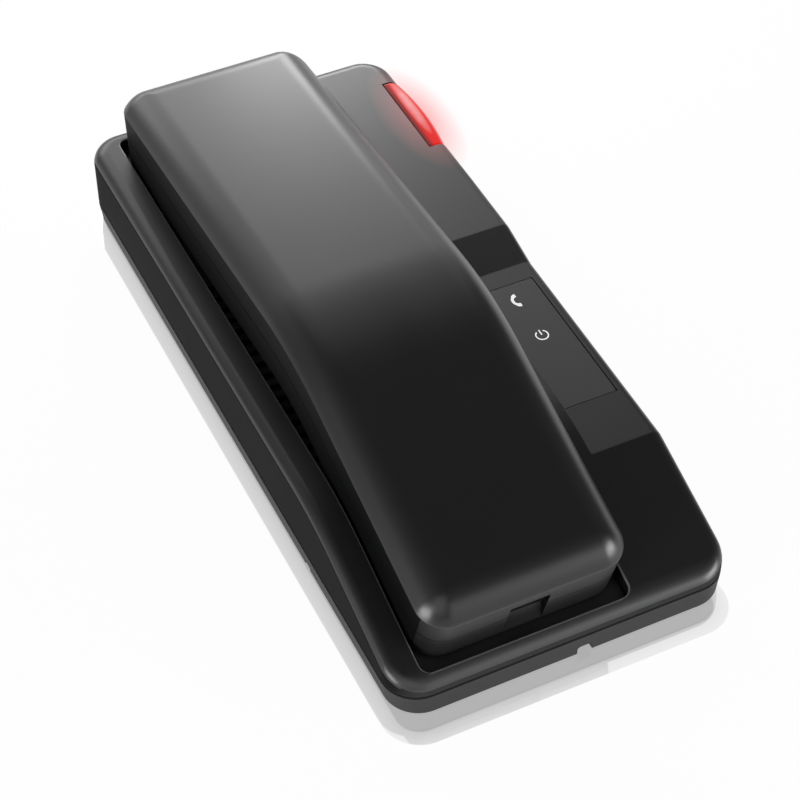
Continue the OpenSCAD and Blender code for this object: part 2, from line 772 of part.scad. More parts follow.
module light_guides() {
    color("#e8ecef") for (p = symbols) translate([p[0], p[1], 0])
        tube(guide_r, board_z + board_t + led_h, shelf_z - panel_t);
}

// Rings of the outer shell's rounded shoulder, from the crease up to the top face
function shoulder() = [for (i = [round_steps : -1 : 0]) let (a = shoulder_a * i / round_steps)
    handset_loop(shoulder_w - shoulder_r * sin(a), shell_up - shoulder_r * (1 - cos(a)))];

// Rings of the inner shell's rounded bottom edge, from the face up
function sole() = [for (i = [0 : round_steps]) let (a = 90 * i / round_steps)
    handset_loop(sole_r * (1 - sin(a)), sole_r * (1 - cos(a)) - shell_down)];

module handset_outer_shell() {
    rim = seam_gap / 4;
    crease = shell_up - shoulder_h;
    color(HANDSET) difference() {
        union() {
            stack(concat([
                handset_loop(shoulder_w, shell_up - shell_t),
                handset_loop(shell_t, crease - 1),
                handset_loop(shell_t, rim),
                handset_loop(0, rim)], shoulder()));
            for (x = [-1, 1]) at_mouth(x * handset_screw_x, handset_screw_s)
                tube(handset_boss_r, handset_boss_v, shell_up - shell_t / 2 - 0.4);
        }
        for (x = [-1, 1]) at_mouth(x * handset_screw_x, handset_screw_s)
            tube(handset_screw_r + screw_gap, -far / 4, handset_boss_v + handset_screw_l + 0.4);
        at_mouth(0, s_mouth) translate([-jack_notch_w / 2, -2, 0])
            cube([jack_notch_w, shell_t + inner_chamfer + 2, notch_top]);
    }
}

module key_outline(l, grow) {
    rounded(key_w + 2 * grow, l + 2 * grow, key_r + grow);
}

// Column from -1 to 1 and row from 0 to 4, with the first key of a row on the +X side
module at_key(col, row) {
    at_ear(-col * key_pitch_x, key_s0 + row * key_pitch_s) children();
}

function row_l(row) = row == 0 ? fn_key_l : key_l;

module handset_inner_shell() {
    rim = seam_gap / 4;
    color(HANDSET) difference() {
        union() {
            stack(concat(sole(), [
                handset_loop(0, -rim),
                handset_loop(shell_t, -rim),
                handset_loop(shell_t, inner_v + inner_chamfer),
                handset_loop(shell_t + inner_chamfer, inner_v)]));
            for (x = [-1, 1]) at_mouth(x * handset_screw_x, handset_screw_s)
                tube(handset_boss_r + 1, inner_v - 0.4, handset_boss_v);
            for (s = [membrane_s[0] - board_margin / 2, membrane_s[1] + board_margin / 2], x = [-1, 1])
                at_ear(x * (board_half_w - 3), s) tube(ear_post_r, inner_v - 0.4, board_v);
            at_mouth(0, jack_s) translate([-cord_jack_w / 2, 0, inner_v - 0.4])
                cube([cord_jack_w, cord_jack_l, jack_v - screw_gap - inner_v + 0.4]);
        }
        for (row = [0 : 4], col = [-1 : 1]) at_key(col, row)
            translate([0, 0, -shell_down - 2]) linear_extrude(shell_t + 4) key_outline(row_l(row), key_gap);
        at_ear(0, receiver_s) {
            tube(0.9, -far / 4, 0);
            for (a = [0 : 45 : 315]) rotate(a) translate([5, 0, 0]) tube(0.9, -far / 4, 0);
        }
        at_mouth(0, mic_s) tube(0.8, -far / 4, 0);
        for (x = [-1, 1]) at_mouth(x * handset_screw_x, handset_screw_s) {
            tube(handset_screw_r + fit, -far / 4, 0);
            tube(handset_head_r + slide_gap, -far / 4, handset_seat);
        }
        at_mouth(0, s_mouth) translate([-jack_notch_w / 2, -2, notch_low])
            cube([jack_notch_w, shell_t + inner_chamfer + 2, far]);
        translate([well_x, tab_y, 0]) block(tab_size[0] + 1, tab_size[1] + 1, 0, well_floor_z + tab_rise + 1.2);
    }
}

module handset_screws() {
    head_h = 1.4;
    color(STEEL) for (x = [-1, 1]) at_mouth(x * handset_screw_x, handset_screw_s) difference() {
        union() {
            tube(handset_head_r, handset_seat - head_h, handset_seat);
            tube(handset_screw_r, handset_seat - 0.5, handset_boss_v + handset_screw_l);
        }
        for (a = [0, 90]) rotate(a) block(2.6, 0.7, handset_seat - 2, handset_seat - head_h / 2);
    }
}

module earpiece_receiver() {
    low = inner_v + seal_t;
    color("#303236") at_ear(0, receiver_s) difference() {
        union() {
            tube(receiver_r, low, low + receiver_h * 0.6);
            tube(receiver_r * 0.6, low, low + receiver_h);
        }
        tube(receiver_r * 0.7, low - 1, low + 0.8);
    }
}

module receiver_gasket() {
    color(RUBBER) at_ear(0, receiver_s) difference() {
        tube(receiver_r, inner_v, inner_v + seal_t);
        tube(receiver_r - 2.5, -far / 4, far);
    }
}

module microphone() {
    color(STEEL) at_mouth(0, mic_s) tube(mic_r, inner_v + boot_floor, inner_v + boot_floor + mic_h);
}

module microphone_boot() {
    color(RUBBER) at_mouth(0, mic_s) difference() {
        tube(mic_r + boot_t, inner_v, inner_v + boot_floor + mic_h + 0.3);
        tube(mic_r + screw_gap, inner_v + boot_floor, far);
        tube(1, -far / 4, 0);
    }
}

module handset_board() {
    s0 = membrane_s[0] - board_margin;
    s1 = membrane_s[1] + board_margin;
    color(BOARD) at_ear(0, (s0 + s1) / 2) block(2 * board_half_w, s1 - s0, board_v, board_v + board_t);
}

module keypad_membrane() {
    color("#8d9094") at_ear(0, (membrane_s[0] + membrane_s[1]) / 2)
        block(2 * key_pitch_x + key_w + 2, membrane_s[1] - membrane_s[0], board_v - membrane_t, board_v);
}

module handset_cord_jack() {
    color(JACK) at_mouth(0, jack_s) translate([0, 0, jack_v])
        jack_body(cord_jack_w, cord_jack_l, cord_jack_h, jack_mouth);
}

module handset_ballast() {
    top = shell_up - shell_t - 0.05;
    color(STEEL) at_ear(0, ballast_s) block(ballast_size[0], ballast_size[1], top - ballast_size[2], top);
}

// A key with its cap, and a flange that keeps it behind the shell
module key(col, row) {
    l = row_l(row);
    color(KEY) at_key(col, row) {
        translate([0, 0, -shell_down - key_proud]) linear_extrude(key_proud + shell_t + flange_gap + key_flange)
            key_outline(l, 0);
        block(key_w + 2 * flange_w, l + 2 * flange_w, inner_v + flange_gap, inner_v + flange_gap + key_flange);
    }
}

base_upper_case();
base_lower_case();
rubber_feet();
case_screws();
main_board();
board_screws();
lan_jack();
base_cord_jack();
ringer_speaker();
ringer_gasket();
hook_plunger();
hook_switch();
wall_rest_tab();
message_lamp_lens();
lamp_light_board();
indicator_panel();
indicator_board();
light_guides();
handset_outer_shell();
handset_inner_shell();
handset_screws();
earpiece_receiver();
receiver_gasket();
microphone();
microphone_boot();
handset_board();
keypad_membrane();
handset_cord_jack();
handset_ballast();
key(-1, 4);  // key_1
key(0, 4);  // key_2
key(1, 4);  // key_3
key(-1, 3);  // key_4
key(0, 3);  // key_5
key(1, 3);  // key_6
key(-1, 2);  // key_7
key(0, 2);  // key_8
key(1, 2);  // key_9
key(-1, 1);  // key_star
key(0, 1);  // key_0
key(1, 1);  // key_hash
key(-1, 0);  // key_flash
key(0, 0);  // key_redial
key(1, 0);  // key_mute
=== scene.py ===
"""Looks of a slim corded network telephone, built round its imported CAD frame.

The base lies on its back with the handset in its well. Lengths of shapes are in millimetres in the frame of the
CAD model, and become metres when a mesh is made. Places in finishes and in the studio are in metres.
"""
import json
import logging
import math
from dataclasses import dataclass
from enum import Enum
from functools import cache
from typing import Callable, ClassVar, Sequence

import bmesh
import bpy
import numpy as np
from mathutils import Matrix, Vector

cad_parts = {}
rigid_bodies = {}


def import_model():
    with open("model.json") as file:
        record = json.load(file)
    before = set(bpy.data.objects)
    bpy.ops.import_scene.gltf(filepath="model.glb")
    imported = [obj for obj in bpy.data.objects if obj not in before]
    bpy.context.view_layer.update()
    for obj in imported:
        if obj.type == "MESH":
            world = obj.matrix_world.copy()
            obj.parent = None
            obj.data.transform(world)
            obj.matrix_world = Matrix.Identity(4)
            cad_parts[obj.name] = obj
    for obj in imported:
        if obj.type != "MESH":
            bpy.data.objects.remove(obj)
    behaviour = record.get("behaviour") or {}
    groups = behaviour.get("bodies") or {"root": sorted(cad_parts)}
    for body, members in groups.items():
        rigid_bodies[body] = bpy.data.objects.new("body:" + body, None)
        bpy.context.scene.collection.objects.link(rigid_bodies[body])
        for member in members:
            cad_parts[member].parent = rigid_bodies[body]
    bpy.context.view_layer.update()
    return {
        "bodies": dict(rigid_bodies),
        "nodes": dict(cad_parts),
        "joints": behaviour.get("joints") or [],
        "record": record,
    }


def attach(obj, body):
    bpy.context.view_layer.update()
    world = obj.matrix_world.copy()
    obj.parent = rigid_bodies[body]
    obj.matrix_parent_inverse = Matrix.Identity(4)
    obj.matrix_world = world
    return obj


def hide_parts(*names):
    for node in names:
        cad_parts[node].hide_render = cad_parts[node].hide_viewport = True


LOG = logging.getLogger("phone")
MM = 0.001
STEP = 0.004  # run of a surface that drops almost upright
SQUARE = 0.01  # radius of a corner that looks square
QUARTER = math.pi / 2
Array = np.ndarray
Mesh, Material, Node, Socket = bpy.types.Mesh, bpy.types.Material, bpy.types.Node, bpy.types.NodeSocket
Pair = tuple[float, float]
Point = Colour = tuple[float, float, float]
Box = tuple[float, float, float, float]
Rule = Callable[[Array], Array]


class Slot(Enum):
    """Material slots of the record; each new piece's tag holds one."""

    CASE = "case_black"
    HANDSET = "handset_black"
    LAMP = "lamp_red"
    PANEL = "panel_grey"
    GUIDE = "clear_guide"
    KEY = "key_grey"
    STEEL = "steel"


# Geometry helpers


def rounded_loop(box: Box, r: float, along: Array, across: Array, corner: int = 12) -> Array:
    """Outline of a rounded rectangle, counter-clockwise, with its outward directions.

    Each side runs straight between two quarter circles of radius r.

    Args:
        box: Lowest x, highest x, lowest y and highest y.
        r: Corner radius.
        along: Fractions of the straight right and left sides, between 0 and 1.
        across: Fractions of the straight end sides, between 0 and 1.
        corner: Points on each quarter circle.

    Returns:
        Rows of x, y, outward x and outward y.
    """
    x0, x1, y0, y1 = box
    turn = np.linspace(0.0, QUARTER, corner)

    def side(x: Array | float, y: Array | float, nx: float, ny: float) -> Array:
        """Rows for one straight side."""
        x, y = np.broadcast_arrays(x, y)
        return np.column_stack([x, y, np.full(x.shape, nx), np.full(x.shape, ny)])

    def arc(cx: float, cy: float, start: float) -> Array:
        """Rows for one quarter circle that starts at an angle."""
        c, s = np.cos(start + turn), np.sin(start + turn)
        return np.column_stack([cx + r * c, cy + r * s, c, s])

    rise = y0 + r + (y1 - y0 - 2 * r) * along
    run = x0 + r + (x1 - x0 - 2 * r) * across
    return np.vstack([
        side(x1, rise, 1, 0), arc(x1 - r, y1 - r, 0.0),
        side(run[::-1], y1, 0, 1), arc(x0 + r, y1 - r, QUARTER),
        side(x0, rise[::-1], -1, 0), arc(x0 + r, y0 + r, math.pi),
        side(run, y0, 0, -1), arc(x1 - r, y0 + r, 1.5 * math.pi)])


def inner(count: int) -> Array:
    """Evenly spaced fractions strictly between 0 and 1."""
    return np.linspace(0.0, 1.0, count + 2)[1:-1]


def lines(edges: Sequence[float], pitch: float) -> Array:
    """Sorted grid lines through all the edges, with gaps filled to about the pitch."""
    edges = np.unique(np.round(edges, 5))
    spans = [np.linspace(a, b, max(2, int(math.ceil((b - a) / pitch)) + 1))[:-1] for a, b in zip(edges, edges[1:])]
    return np.append(np.concatenate(spans), edges[-1])


def points_of(*parts: Array | float) -> Array:
    """Points from their x, y and z, stretched to one shape."""
    return np.stack(np.broadcast_arrays(*parts), axis=-1)


def drawn_in(loop: Array, inset: Array | float, z: Array | float) -> Array:
    """Rows of points along an outline that is drawn in by each inset, at each height."""
    return points_of(loop[:, 0] - inset * loop[:, 2], loop[:, 1] - inset * loop[:, 3], z)


def quads_of(ids: Array) -> Array:
    """Corners of the cells between the rows and columns of a grid of point numbers."""
    return np.stack([ids[:-1, :-1], ids[1:, :-1], ids[1:, 1:], ids[:-1, 1:]], axis=-1)


def vectors(items: bpy.types.bpy_prop_collection, key: str) -> Array:
    """One row of three for each vertex or face of a mesh."""
    flat = np.empty(3 * len(items), dtype=np.float32)
    items.foreach_get(key, flat)
    return flat.reshape(-1, 3)


def heal(mesh: Mesh, thin: bool = False) -> None:
    """Joins points that meet and turns faces outwards; where thin is set, faces with no area go as well."""
    work = bmesh.new()
    work.from_mesh(mesh)
    bmesh.ops.remove_doubles(work, verts=work.verts, dist=1.0e-6)
    if thin:
        bmesh.ops.dissolve_degenerate(work, edges=work.edges, dist=1.0e-7)
    bmesh.ops.recalc_face_normals(work, faces=work.faces)
    work.to_mesh(mesh)
    work.free()


@dataclass(frozen=True)
class Tag:
    """What a piece is: its name, material and body, the record's slot, and the CAD nodes that it stands for.

    Edges that turn further than sharp_deg stay crisp.
    """

    name: str
    material: Material
    body: str
    slot: Slot
    replaces: tuple[str, ...] = ()
    sharp_deg: float = 28.0

    def settle(self, mesh: Mesh) -> None:
        """Links a finished mesh as the piece, shades it smooth and ties it to its body."""
        mesh.polygons.foreach_set("use_smooth", np.ones(len(mesh.polygons), dtype=bool))
        mesh.set_sharp_from_angle(angle=math.radians(self.sharp_deg))
        mesh.materials.append(self.material)
        obj = bpy.data.objects.new(self.name, mesh)
        bpy.context.scene.collection.objects.link(obj)
        obj.modifiers.new("flat_faces_first", "WEIGHTED_NORMAL").keep_sharp = True
        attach(obj, self.body)
        if self.replaces:
            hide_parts(*self.replaces)
        LOG.info("%s: %d faces on %s", self.name, len(mesh.polygons), self.body)


class Patchwork:
    """Grids of points in millimetres that together make one piece."""

    def __init__(self) -> None:
        """Starts with no patches."""
        self.points: list[Array] = []
        self.quads: list[Array] = []
        self.count: int = 0

    def add(self, points: Array, quads: Array) -> None:
        """Adds points and the four-sided faces between them."""
        self.points.append(points.reshape(-1, 3))
        self.quads.append(quads.reshape(-1, 4) + self.count)
        self.count += len(self.points[-1])

    def grid(self, points: Array, wrap_rows: bool = False) -> None:
        """Adds a grid of points, rows by columns by three, whose columns close; its rows close where that is asked."""
        rows, cols = points.shape[:2]
        ids = np.pad(np.arange(rows * cols).reshape(rows, cols), ((0, int(wrap_rows)), (0, 1)), mode="wrap")
        self.add(points, quads_of(ids))

    def plate(self, u: Array, v: Array, holes: Array, front: Callable[..., Array], back: Callable[..., Array]) -> None:
        """Adds a closed plate with openings.

        The front and back are grids over the same lines. A cell in a hole is left open, and each border between a
        solid cell and an open one gets a wall from front to back.

        Args:
            u: Lines of the first parameter.
            v: Lines of the second parameter.
            holes: Lowest u, highest u, lowest v and highest v of each opening.
            front: Turns the two parameters into points of the front.
            back: Turns them into points of the back.
        """
        mid_u, mid_v = ((u[1:] + u[:-1]) / 2)[:, None, None], ((v[1:] + v[:-1]) / 2)[:, None]
        u0, u1, v0, v1 = holes.T
        solid = ~((mid_u > u0) & (mid_u < u1) & (mid_v > v0) & (mid_v < v1)).any(axis=2)
        n = u.size * v.size
        ids = np.arange(n).reshape(u.size, v.size)
        cells = quads_of(ids)[solid]
        room = np.pad(solid, 1)
        across = np.stack([ids[:, :-1], ids[:, 1:]], axis=-1)[room[1:, 1:-1] != room[:-1, 1:-1]]
        down = np.stack([ids[:-1, :], ids[1:, :]], axis=-1)[room[1:-1, 1:] != room[1:-1, :-1]]
        rims = np.vstack([across, down])
        sheets = [side(*np.meshgrid(u, v, indexing="ij")).reshape(-1, 3) for side in (front, back)]
        self.add(np.concatenate(sheets),
                 np.vstack([cells, cells[:, ::-1] + n, np.column_stack([rims, rims[:, ::-1] + n])]))

    def block(self, box: Box, r: float, insets: Sequence[float], levels: Sequence[float],
              counts: tuple[int, int, int], place: Callable[..., Array]) -> None:
        """Adds a closed block with round corners: an outline at each inset and level, closed over its middle.

        Args:
            box: Lowest x, highest x, lowest y and highest y.
            r: Corner radius.
            insets: How far inside the box each outline lies.
            levels: Height of each outline.
            counts: Points on the long sides, on the ends and on each corner.
            place: Turns places across, along and up into points.
        """
        x0, x1, y0, y1 = box
        sides = (r, inner(counts[0]), inner(counts[1]), counts[2])
        rows = []
        for inset, level in zip(insets, levels):
            loop = rounded_loop((x0 + inset, x1 - inset, y0 + inset, y1 - inset), *sides)
            rows.append(place(loop[:, 0], loop[:, 1], level))
        caps = [np.broadcast_to(place((x0 + x1) / 2, (y0 + y1) / 2, levels[k]), rows[0].shape) for k in (0, -1)]
        self.grid(np.stack([caps[0], *rows, caps[1]]))

    def piece(self, tag: Tag, light_paint: Rule | None = None, sides: tuple[Material, Rule] | None = None) -> None:
        """Makes the patches one closed mesh object that rides on a body.

        Args:
            tag: What the piece is.
            light_paint: Rule giving each point, in millimetres, its share of painted light, for painted highlights and
                lightened faces; kept as the attribute painted_light_share.
            sides: Another finish, and the rule that picks its faces by their normals.
        """
        quads = np.concatenate(self.quads).astype(np.int32)
        mesh = bpy.data.meshes.new(tag.name)
        mesh.vertices.add(self.count)
        mesh.vertices.foreach_set("co", (np.concatenate(self.points) * MM).astype(np.float32).ravel())
        mesh.loops.add(quads.size)
        mesh.loops.foreach_set("vertex_index", quads.ravel())
        mesh.polygons.add(len(quads))
        mesh.polygons.foreach_set("loop_start", np.arange(0, quads.size, 4, dtype=np.int32))
        mesh.update(calc_edges=True)
        heal(mesh, thin=True)
        # Keeps each point's share of painted light for the finish.
        if light_paint is not None:
            painted_light = mesh.attributes.new("painted_light_share", "FLOAT", "POINT")
            painted_light.data.foreach_set("value", light_paint(vectors(mesh.vertices, "co") / MM))
        tag.settle(mesh)
        if sides is not None:
            mesh.materials.append(sides[0])
            mesh.polygons.foreach_set("material_index", sides[1](vectors(mesh.polygons, "normal")).astype(np.int32))


# Shader helpers


class Graph:
    """A node tree with short calls for adding and joining nodes."""

    def __init__(self, tree: bpy.types.NodeTree) -> None:
        """Wraps a tree."""
        self.tree = tree

    def link(self, source: Socket, target: Socket) -> None:
        """Joins an output to an input."""
        self.tree.links.new(source, target)

    def set(self, node: Node, **settings: object) -> None:
        """Sets a node's properties, or its inputs, with underscores for the spaces in their names."""
        for key, value in settings.items():
            if hasattr(node, key):
                setattr(node, key, value)
            else:
                node.inputs[key.replace("_", " ")].default_value = value

    def add(self, kind: str, *sources: Socket, **settings: object) -> Node:
        """Adds a node.

        Args:
            kind: The node's class name without its ShaderNode part.
            sources: Outputs that are joined to its first inputs.
            settings: Its properties and inputs.

        Returns:
            The node.
        """
        node = self.tree.nodes.new("ShaderNode" + kind)
        self.set(node, **settings)
        for source, target in zip(sources, node.inputs):
            self.link(source, target)
        return node

    def math(self, operation: str, a: Socket, b: Socket | float, addend: float = 0.0, clamp: bool = False) -> Socket:
        """Adds a Math node on a socket and a socket or number, and returns its output."""
        node = self.add("Math", a, operation=operation, use_clamp=clamp)
        node.inputs[2].default_value = addend
        if isinstance(b, float):
            node.inputs[1].default_value = b
        else:
            self.link(b, node.inputs[1])
        return node.outputs[0]

    def mix(self, factor: Socket, a: Socket | Colour, b: Socket | Colour) -> Socket:
        """Adds a colour Mix node and returns its output."""
        node = self.add("Mix", factor, data_type="RGBA")
        for value, target in ((a, node.inputs[6]), (b, node.inputs[7])):
            if isinstance(value, tuple):
                target.default_value = (*value, 1.0)
            else:
                self.link(value, target)
        return node.outputs[2]

    def ramp(self, value: Socket, stops: Sequence[Pair]) -> Socket:
        """Adds a grey ramp over a value, by positions with their levels, and returns its output."""
        node = self.add("ValToRGB", value)
        bar = node.color_ramp.elements
        bar[0].position, bar[1].position = stops[0][0], stops[-1][0]
        for position, _ in stops[1:-1]:
            bar.new(position)
        for mark, (_, level) in zip(bar, stops):
            mark.color = (level, level, level, 1.0)
        return node.outputs[0]

    def place(self) -> Socket:
        """Adds Object coordinates and returns them."""
        return self.add("TexCoord").outputs["Object"]

    def ball(self, centre: Point, reach: Point) -> Socket:
        """Adds a mask that falls from 1 at a centre to 0 at its reach along each axis, in Object coordinates."""
        frame = self.add("Mapping", self.place(), vector_type="TEXTURE", Location=centre, Scale=reach)
        return self.add("TexGradient", frame.outputs[0], gradient_type="SPHERICAL").outputs["Fac"]

    def bump(self, height: Socket, shader: Node, strength: float, depth: float) -> None:
        """Joins a height to a shader's normal through a Bump node, with its depth in millimetres."""
        node = self.add("Bump", Strength=strength, Distance=depth * MM)
        self.link(height, node.inputs["Height"])
        self.link(node.outputs["Normal"], shader.inputs["Normal"])


def new_group(name: str, inputs: dict[str, float | Colour], outputs: dict[str, str]) -> tuple[Graph, Node, Node]:
    """Starts a shader node group.

    Args:
        name: Name of the group.
        inputs: Input names with their defaults; a tuple makes a colour.
        outputs: Output names with their socket kinds.

    Returns:
        Its graph, its input node and its output node.
    """
    tree = bpy.data.node_groups.new(name, "ShaderNodeTree")
    for key, value in inputs.items():
        kind = "NodeSocketColor" if isinstance(value, tuple) else "NodeSocketFloat"
        socket = tree.interface.new_socket(key, in_out="INPUT", socket_type=kind)
        socket.default_value = (*value, 1.0) if isinstance(value, tuple) else value
    for key, kind in outputs.items():
        tree.interface.new_socket(key, in_out="OUTPUT", socket_type=kind)
    return Graph(tree), tree.nodes.new("NodeGroupInput"), tree.nodes.new("NodeGroupOutput")


class Effects:
    """Shader groups that several finishes share, built once."""

    @staticmethod
    @cache
    def moulded_grain() -> bpy.types.NodeTree:
        """Fine spark-eroded mould texture: a colour that varies a little, and a height for a bump."""
        g, start, end = new_group(
            "moulded_grain", {"Colour": (0.02, 0.02, 0.02), "Scale": 3000.0, "Variation": 0.15},
            {"Colour": "NodeSocketColor", "Height": "NodeSocketFloat"})
        place = g.place()
        fine = g.add("TexNoise", place, Detail=3.0, Roughness=0.6)
        g.link(start.outputs["Scale"], fine.inputs["Scale"])
        broad = g.add("TexNoise", place, Scale=42.0, Detail=2.0)
        sway, speck = (g.math("MULTIPLY", g.math("SUBTRACT", noise.outputs["Fac"], 0.5), start.outputs["Variation"])
                       for noise in (broad, fine))
        tone = g.add("VectorMath", start.outputs["Colour"], operation="SCALE")
        g.link(g.math("ADD", g.math("ADD", sway, speck), 1.0), tone.inputs["Scale"])
        g.link(tone.outputs[0], end.inputs["Colour"])
        g.link(fine.outputs["Fac"], end.inputs["Height"])
        return g.tree

    @staticmethod
    @cache
    def handled() -> bpy.types.NodeTree:
        """Roughness of a surface that hands have touched: slow cloudy changes with a few fine streaks."""
        g, start, end = new_group(
            "handled_surface", {"Roughness": 0.35, "Amount": 0.06}, {"Roughness": "NodeSocketFloat"})
        place = g.place()
        cloud = g.add("TexNoise", place, Scale=28.0, Detail=4.0, Distortion=0.6)
        stretch = g.add("Mapping", place, Scale=(900.0, 60.0, 300.0))
        streak = g.add("TexNoise", stretch.outputs[0], Scale=1.0, Detail=2.0)
        both = g.math("ADD", cloud.outputs["Fac"], g.math("MULTIPLY", streak.outputs["Fac"], 0.35))
        shift = g.math("MULTIPLY", g.math("SUBTRACT", both, 0.68), start.outputs["Amount"])
        g.link(g.math("ADD", start.outputs["Roughness"], shift, clamp=True), end.inputs["Roughness"])
        return g.tree


def new_material(name: str) -> tuple[Material, Graph, Node]:
    """Starts a node material and returns it with its graph and its Principled shader."""
    material = bpy.data.materials.new(name)
    material.use_nodes = True
    return material, Graph(material.node_tree), material.node_tree.nodes["Principled BSDF"]


@dataclass(frozen=True)
class Spill:
    """Lamplight that spills over a surface round a centre."""

    colour: Colour
    centre: Point
    reach: Point


@dataclass(frozen=True)
class Plastic:
    """Moulded plastic with a fine mould grain and slightly uneven sheen.

    Where a painted-light colour is given, it is mixed in by the attribute painted_light_share, as painted highlights
    and lightened faces.
    """

    name: str
    colour: Colour
    roughness: float = 0.35
    uneven: float = 0.06
    grain_per_m: float = 3000.0
    grain_depth: float = 0.004
    bump: float = 0.25
    variation: float = 0.15
    specular: float = 0.5
    painted_light: Colour | None = None
    spill: Spill | None = None

    def material(self) -> Material:
        """Builds the node material."""
        material, g, shader = new_material(self.name)
        grain = g.add("Group", node_tree=Effects.moulded_grain(), Colour=(*self.colour, 1.0), Scale=self.grain_per_m,
                      Variation=self.variation)
        tone = grain.outputs["Colour"]
        # Painted light: a pale colour mixed in by the point attribute paints highlights and lightened faces.
        if self.painted_light is not None:
            light_paint = g.add("Attribute", attribute_name="painted_light_share")
            tone = g.mix(light_paint.outputs["Fac"], tone, self.painted_light)
        g.link(tone, shader.inputs["Base Color"])
        if self.spill is not None:
            lit = g.mix(g.ball(self.spill.centre, self.spill.reach), (0.0, 0.0, 0.0), self.spill.colour)
            g.link(lit, shader.inputs["Emission Color"])
            g.set(shader, Emission_Strength=1.0)
        touch = g.add("Group", node_tree=Effects.handled(), Roughness=self.roughness, Amount=self.uneven)
        g.link(touch.outputs["Roughness"], shader.inputs["Roughness"])
        g.bump(grain.outputs["Height"], shader, self.bump, self.grain_depth)
        g.set(shader, Specular_IOR_Level=self.specular)
        return material


@dataclass(frozen=True)
class Metal:
    """Plated or pressed steel with fine turning marks."""

    name: str
    colour: Colour
    roughness: float = 0.3

    def material(self) -> Material:
        """Builds the node material."""
        material, g, shader = new_material(self.name)
        stretch = g.add("Mapping", g.place(), Scale=(300.0, 4000.0, 300.0))
        marks = g.add("TexNoise", stretch.outputs[0], Scale=1.0, Detail=3.0).outputs["Fac"]
        g.link(g.mix(marks, tuple(0.8 * c for c in self.colour), self.colour), shader.inputs["Base Color"])
        rough = g.add("MapRange", marks, To_Min=self.roughness * 0.8, To_Max=self.roughness * 1.25)
        g.link(rough.outputs[0], shader.inputs["Roughness"])
        g.bump(marks, shader, 0.15, 0.01)
        g.set(shader, Metallic=1.0)
        return material


@dataclass(frozen=True)
class CircuitBoard:
    """Solder-resist board: green with lighter copper runs under the resist."""

    name: str
    colour: Colour
    copper: Colour

    def material(self) -> Material:
        """Builds the node material."""
        material, g, shader = new_material(self.name)
        runs = g.add("TexVoronoi", g.place(), feature="DISTANCE_TO_EDGE", distance="CHEBYCHEV", Scale=420.0)
        line = g.add("MapRange", runs.outputs["Distance"], From_Min=0.06, From_Max=0.1, To_Min=1.0, To_Max=0.0)
        g.link(g.mix(line.outputs[0], self.colour, self.copper), shader.inputs["Base Color"])
        g.bump(line.outputs[0], shader, 0.3, 0.03)
        g.set(shader, Roughness=0.28)
        return material


@dataclass(frozen=True)
class LitLens:
    """Translucent lens with light behind it: strongest in its middle, and shaded along its inner edge."""

    name: str
    colour: Colour
    glow: Colour
    core: Colour
    strength: float
    centre: Point
    reach: Point
    shade: Colour | None = None
    shade_x: Pair = (0.0, 1.0)

    def material(self) -> Material:
        """Builds the node material."""
        material, g, shader = new_material(self.name)
        place = g.place()
        cloud = g.math("ADD", g.add("TexNoise", place, Scale=260.0, Detail=2.0).outputs["Fac"], 0.5)
        soft = g.math("MULTIPLY", g.ball(self.centre, self.reach), cloud, clamp=True)
        glow: Socket | Colour = self.glow
        if self.shade is not None:
            side = g.add("MapRange", g.add("SeparateXYZ", place).outputs["X"], interpolation_type="SMOOTHSTEP",
                         From_Min=self.shade_x[0], From_Max=self.shade_x[1])
            glow = g.mix(side.outputs[0], self.shade, self.glow)
        g.link(g.mix(soft, glow, self.core), shader.inputs["Emission Color"])
        g.set(shader, Base_Color=(*self.colour, 1.0), Emission_Strength=self.strength, Roughness=0.2,
              Specular_IOR_Level=0.08)
        return material


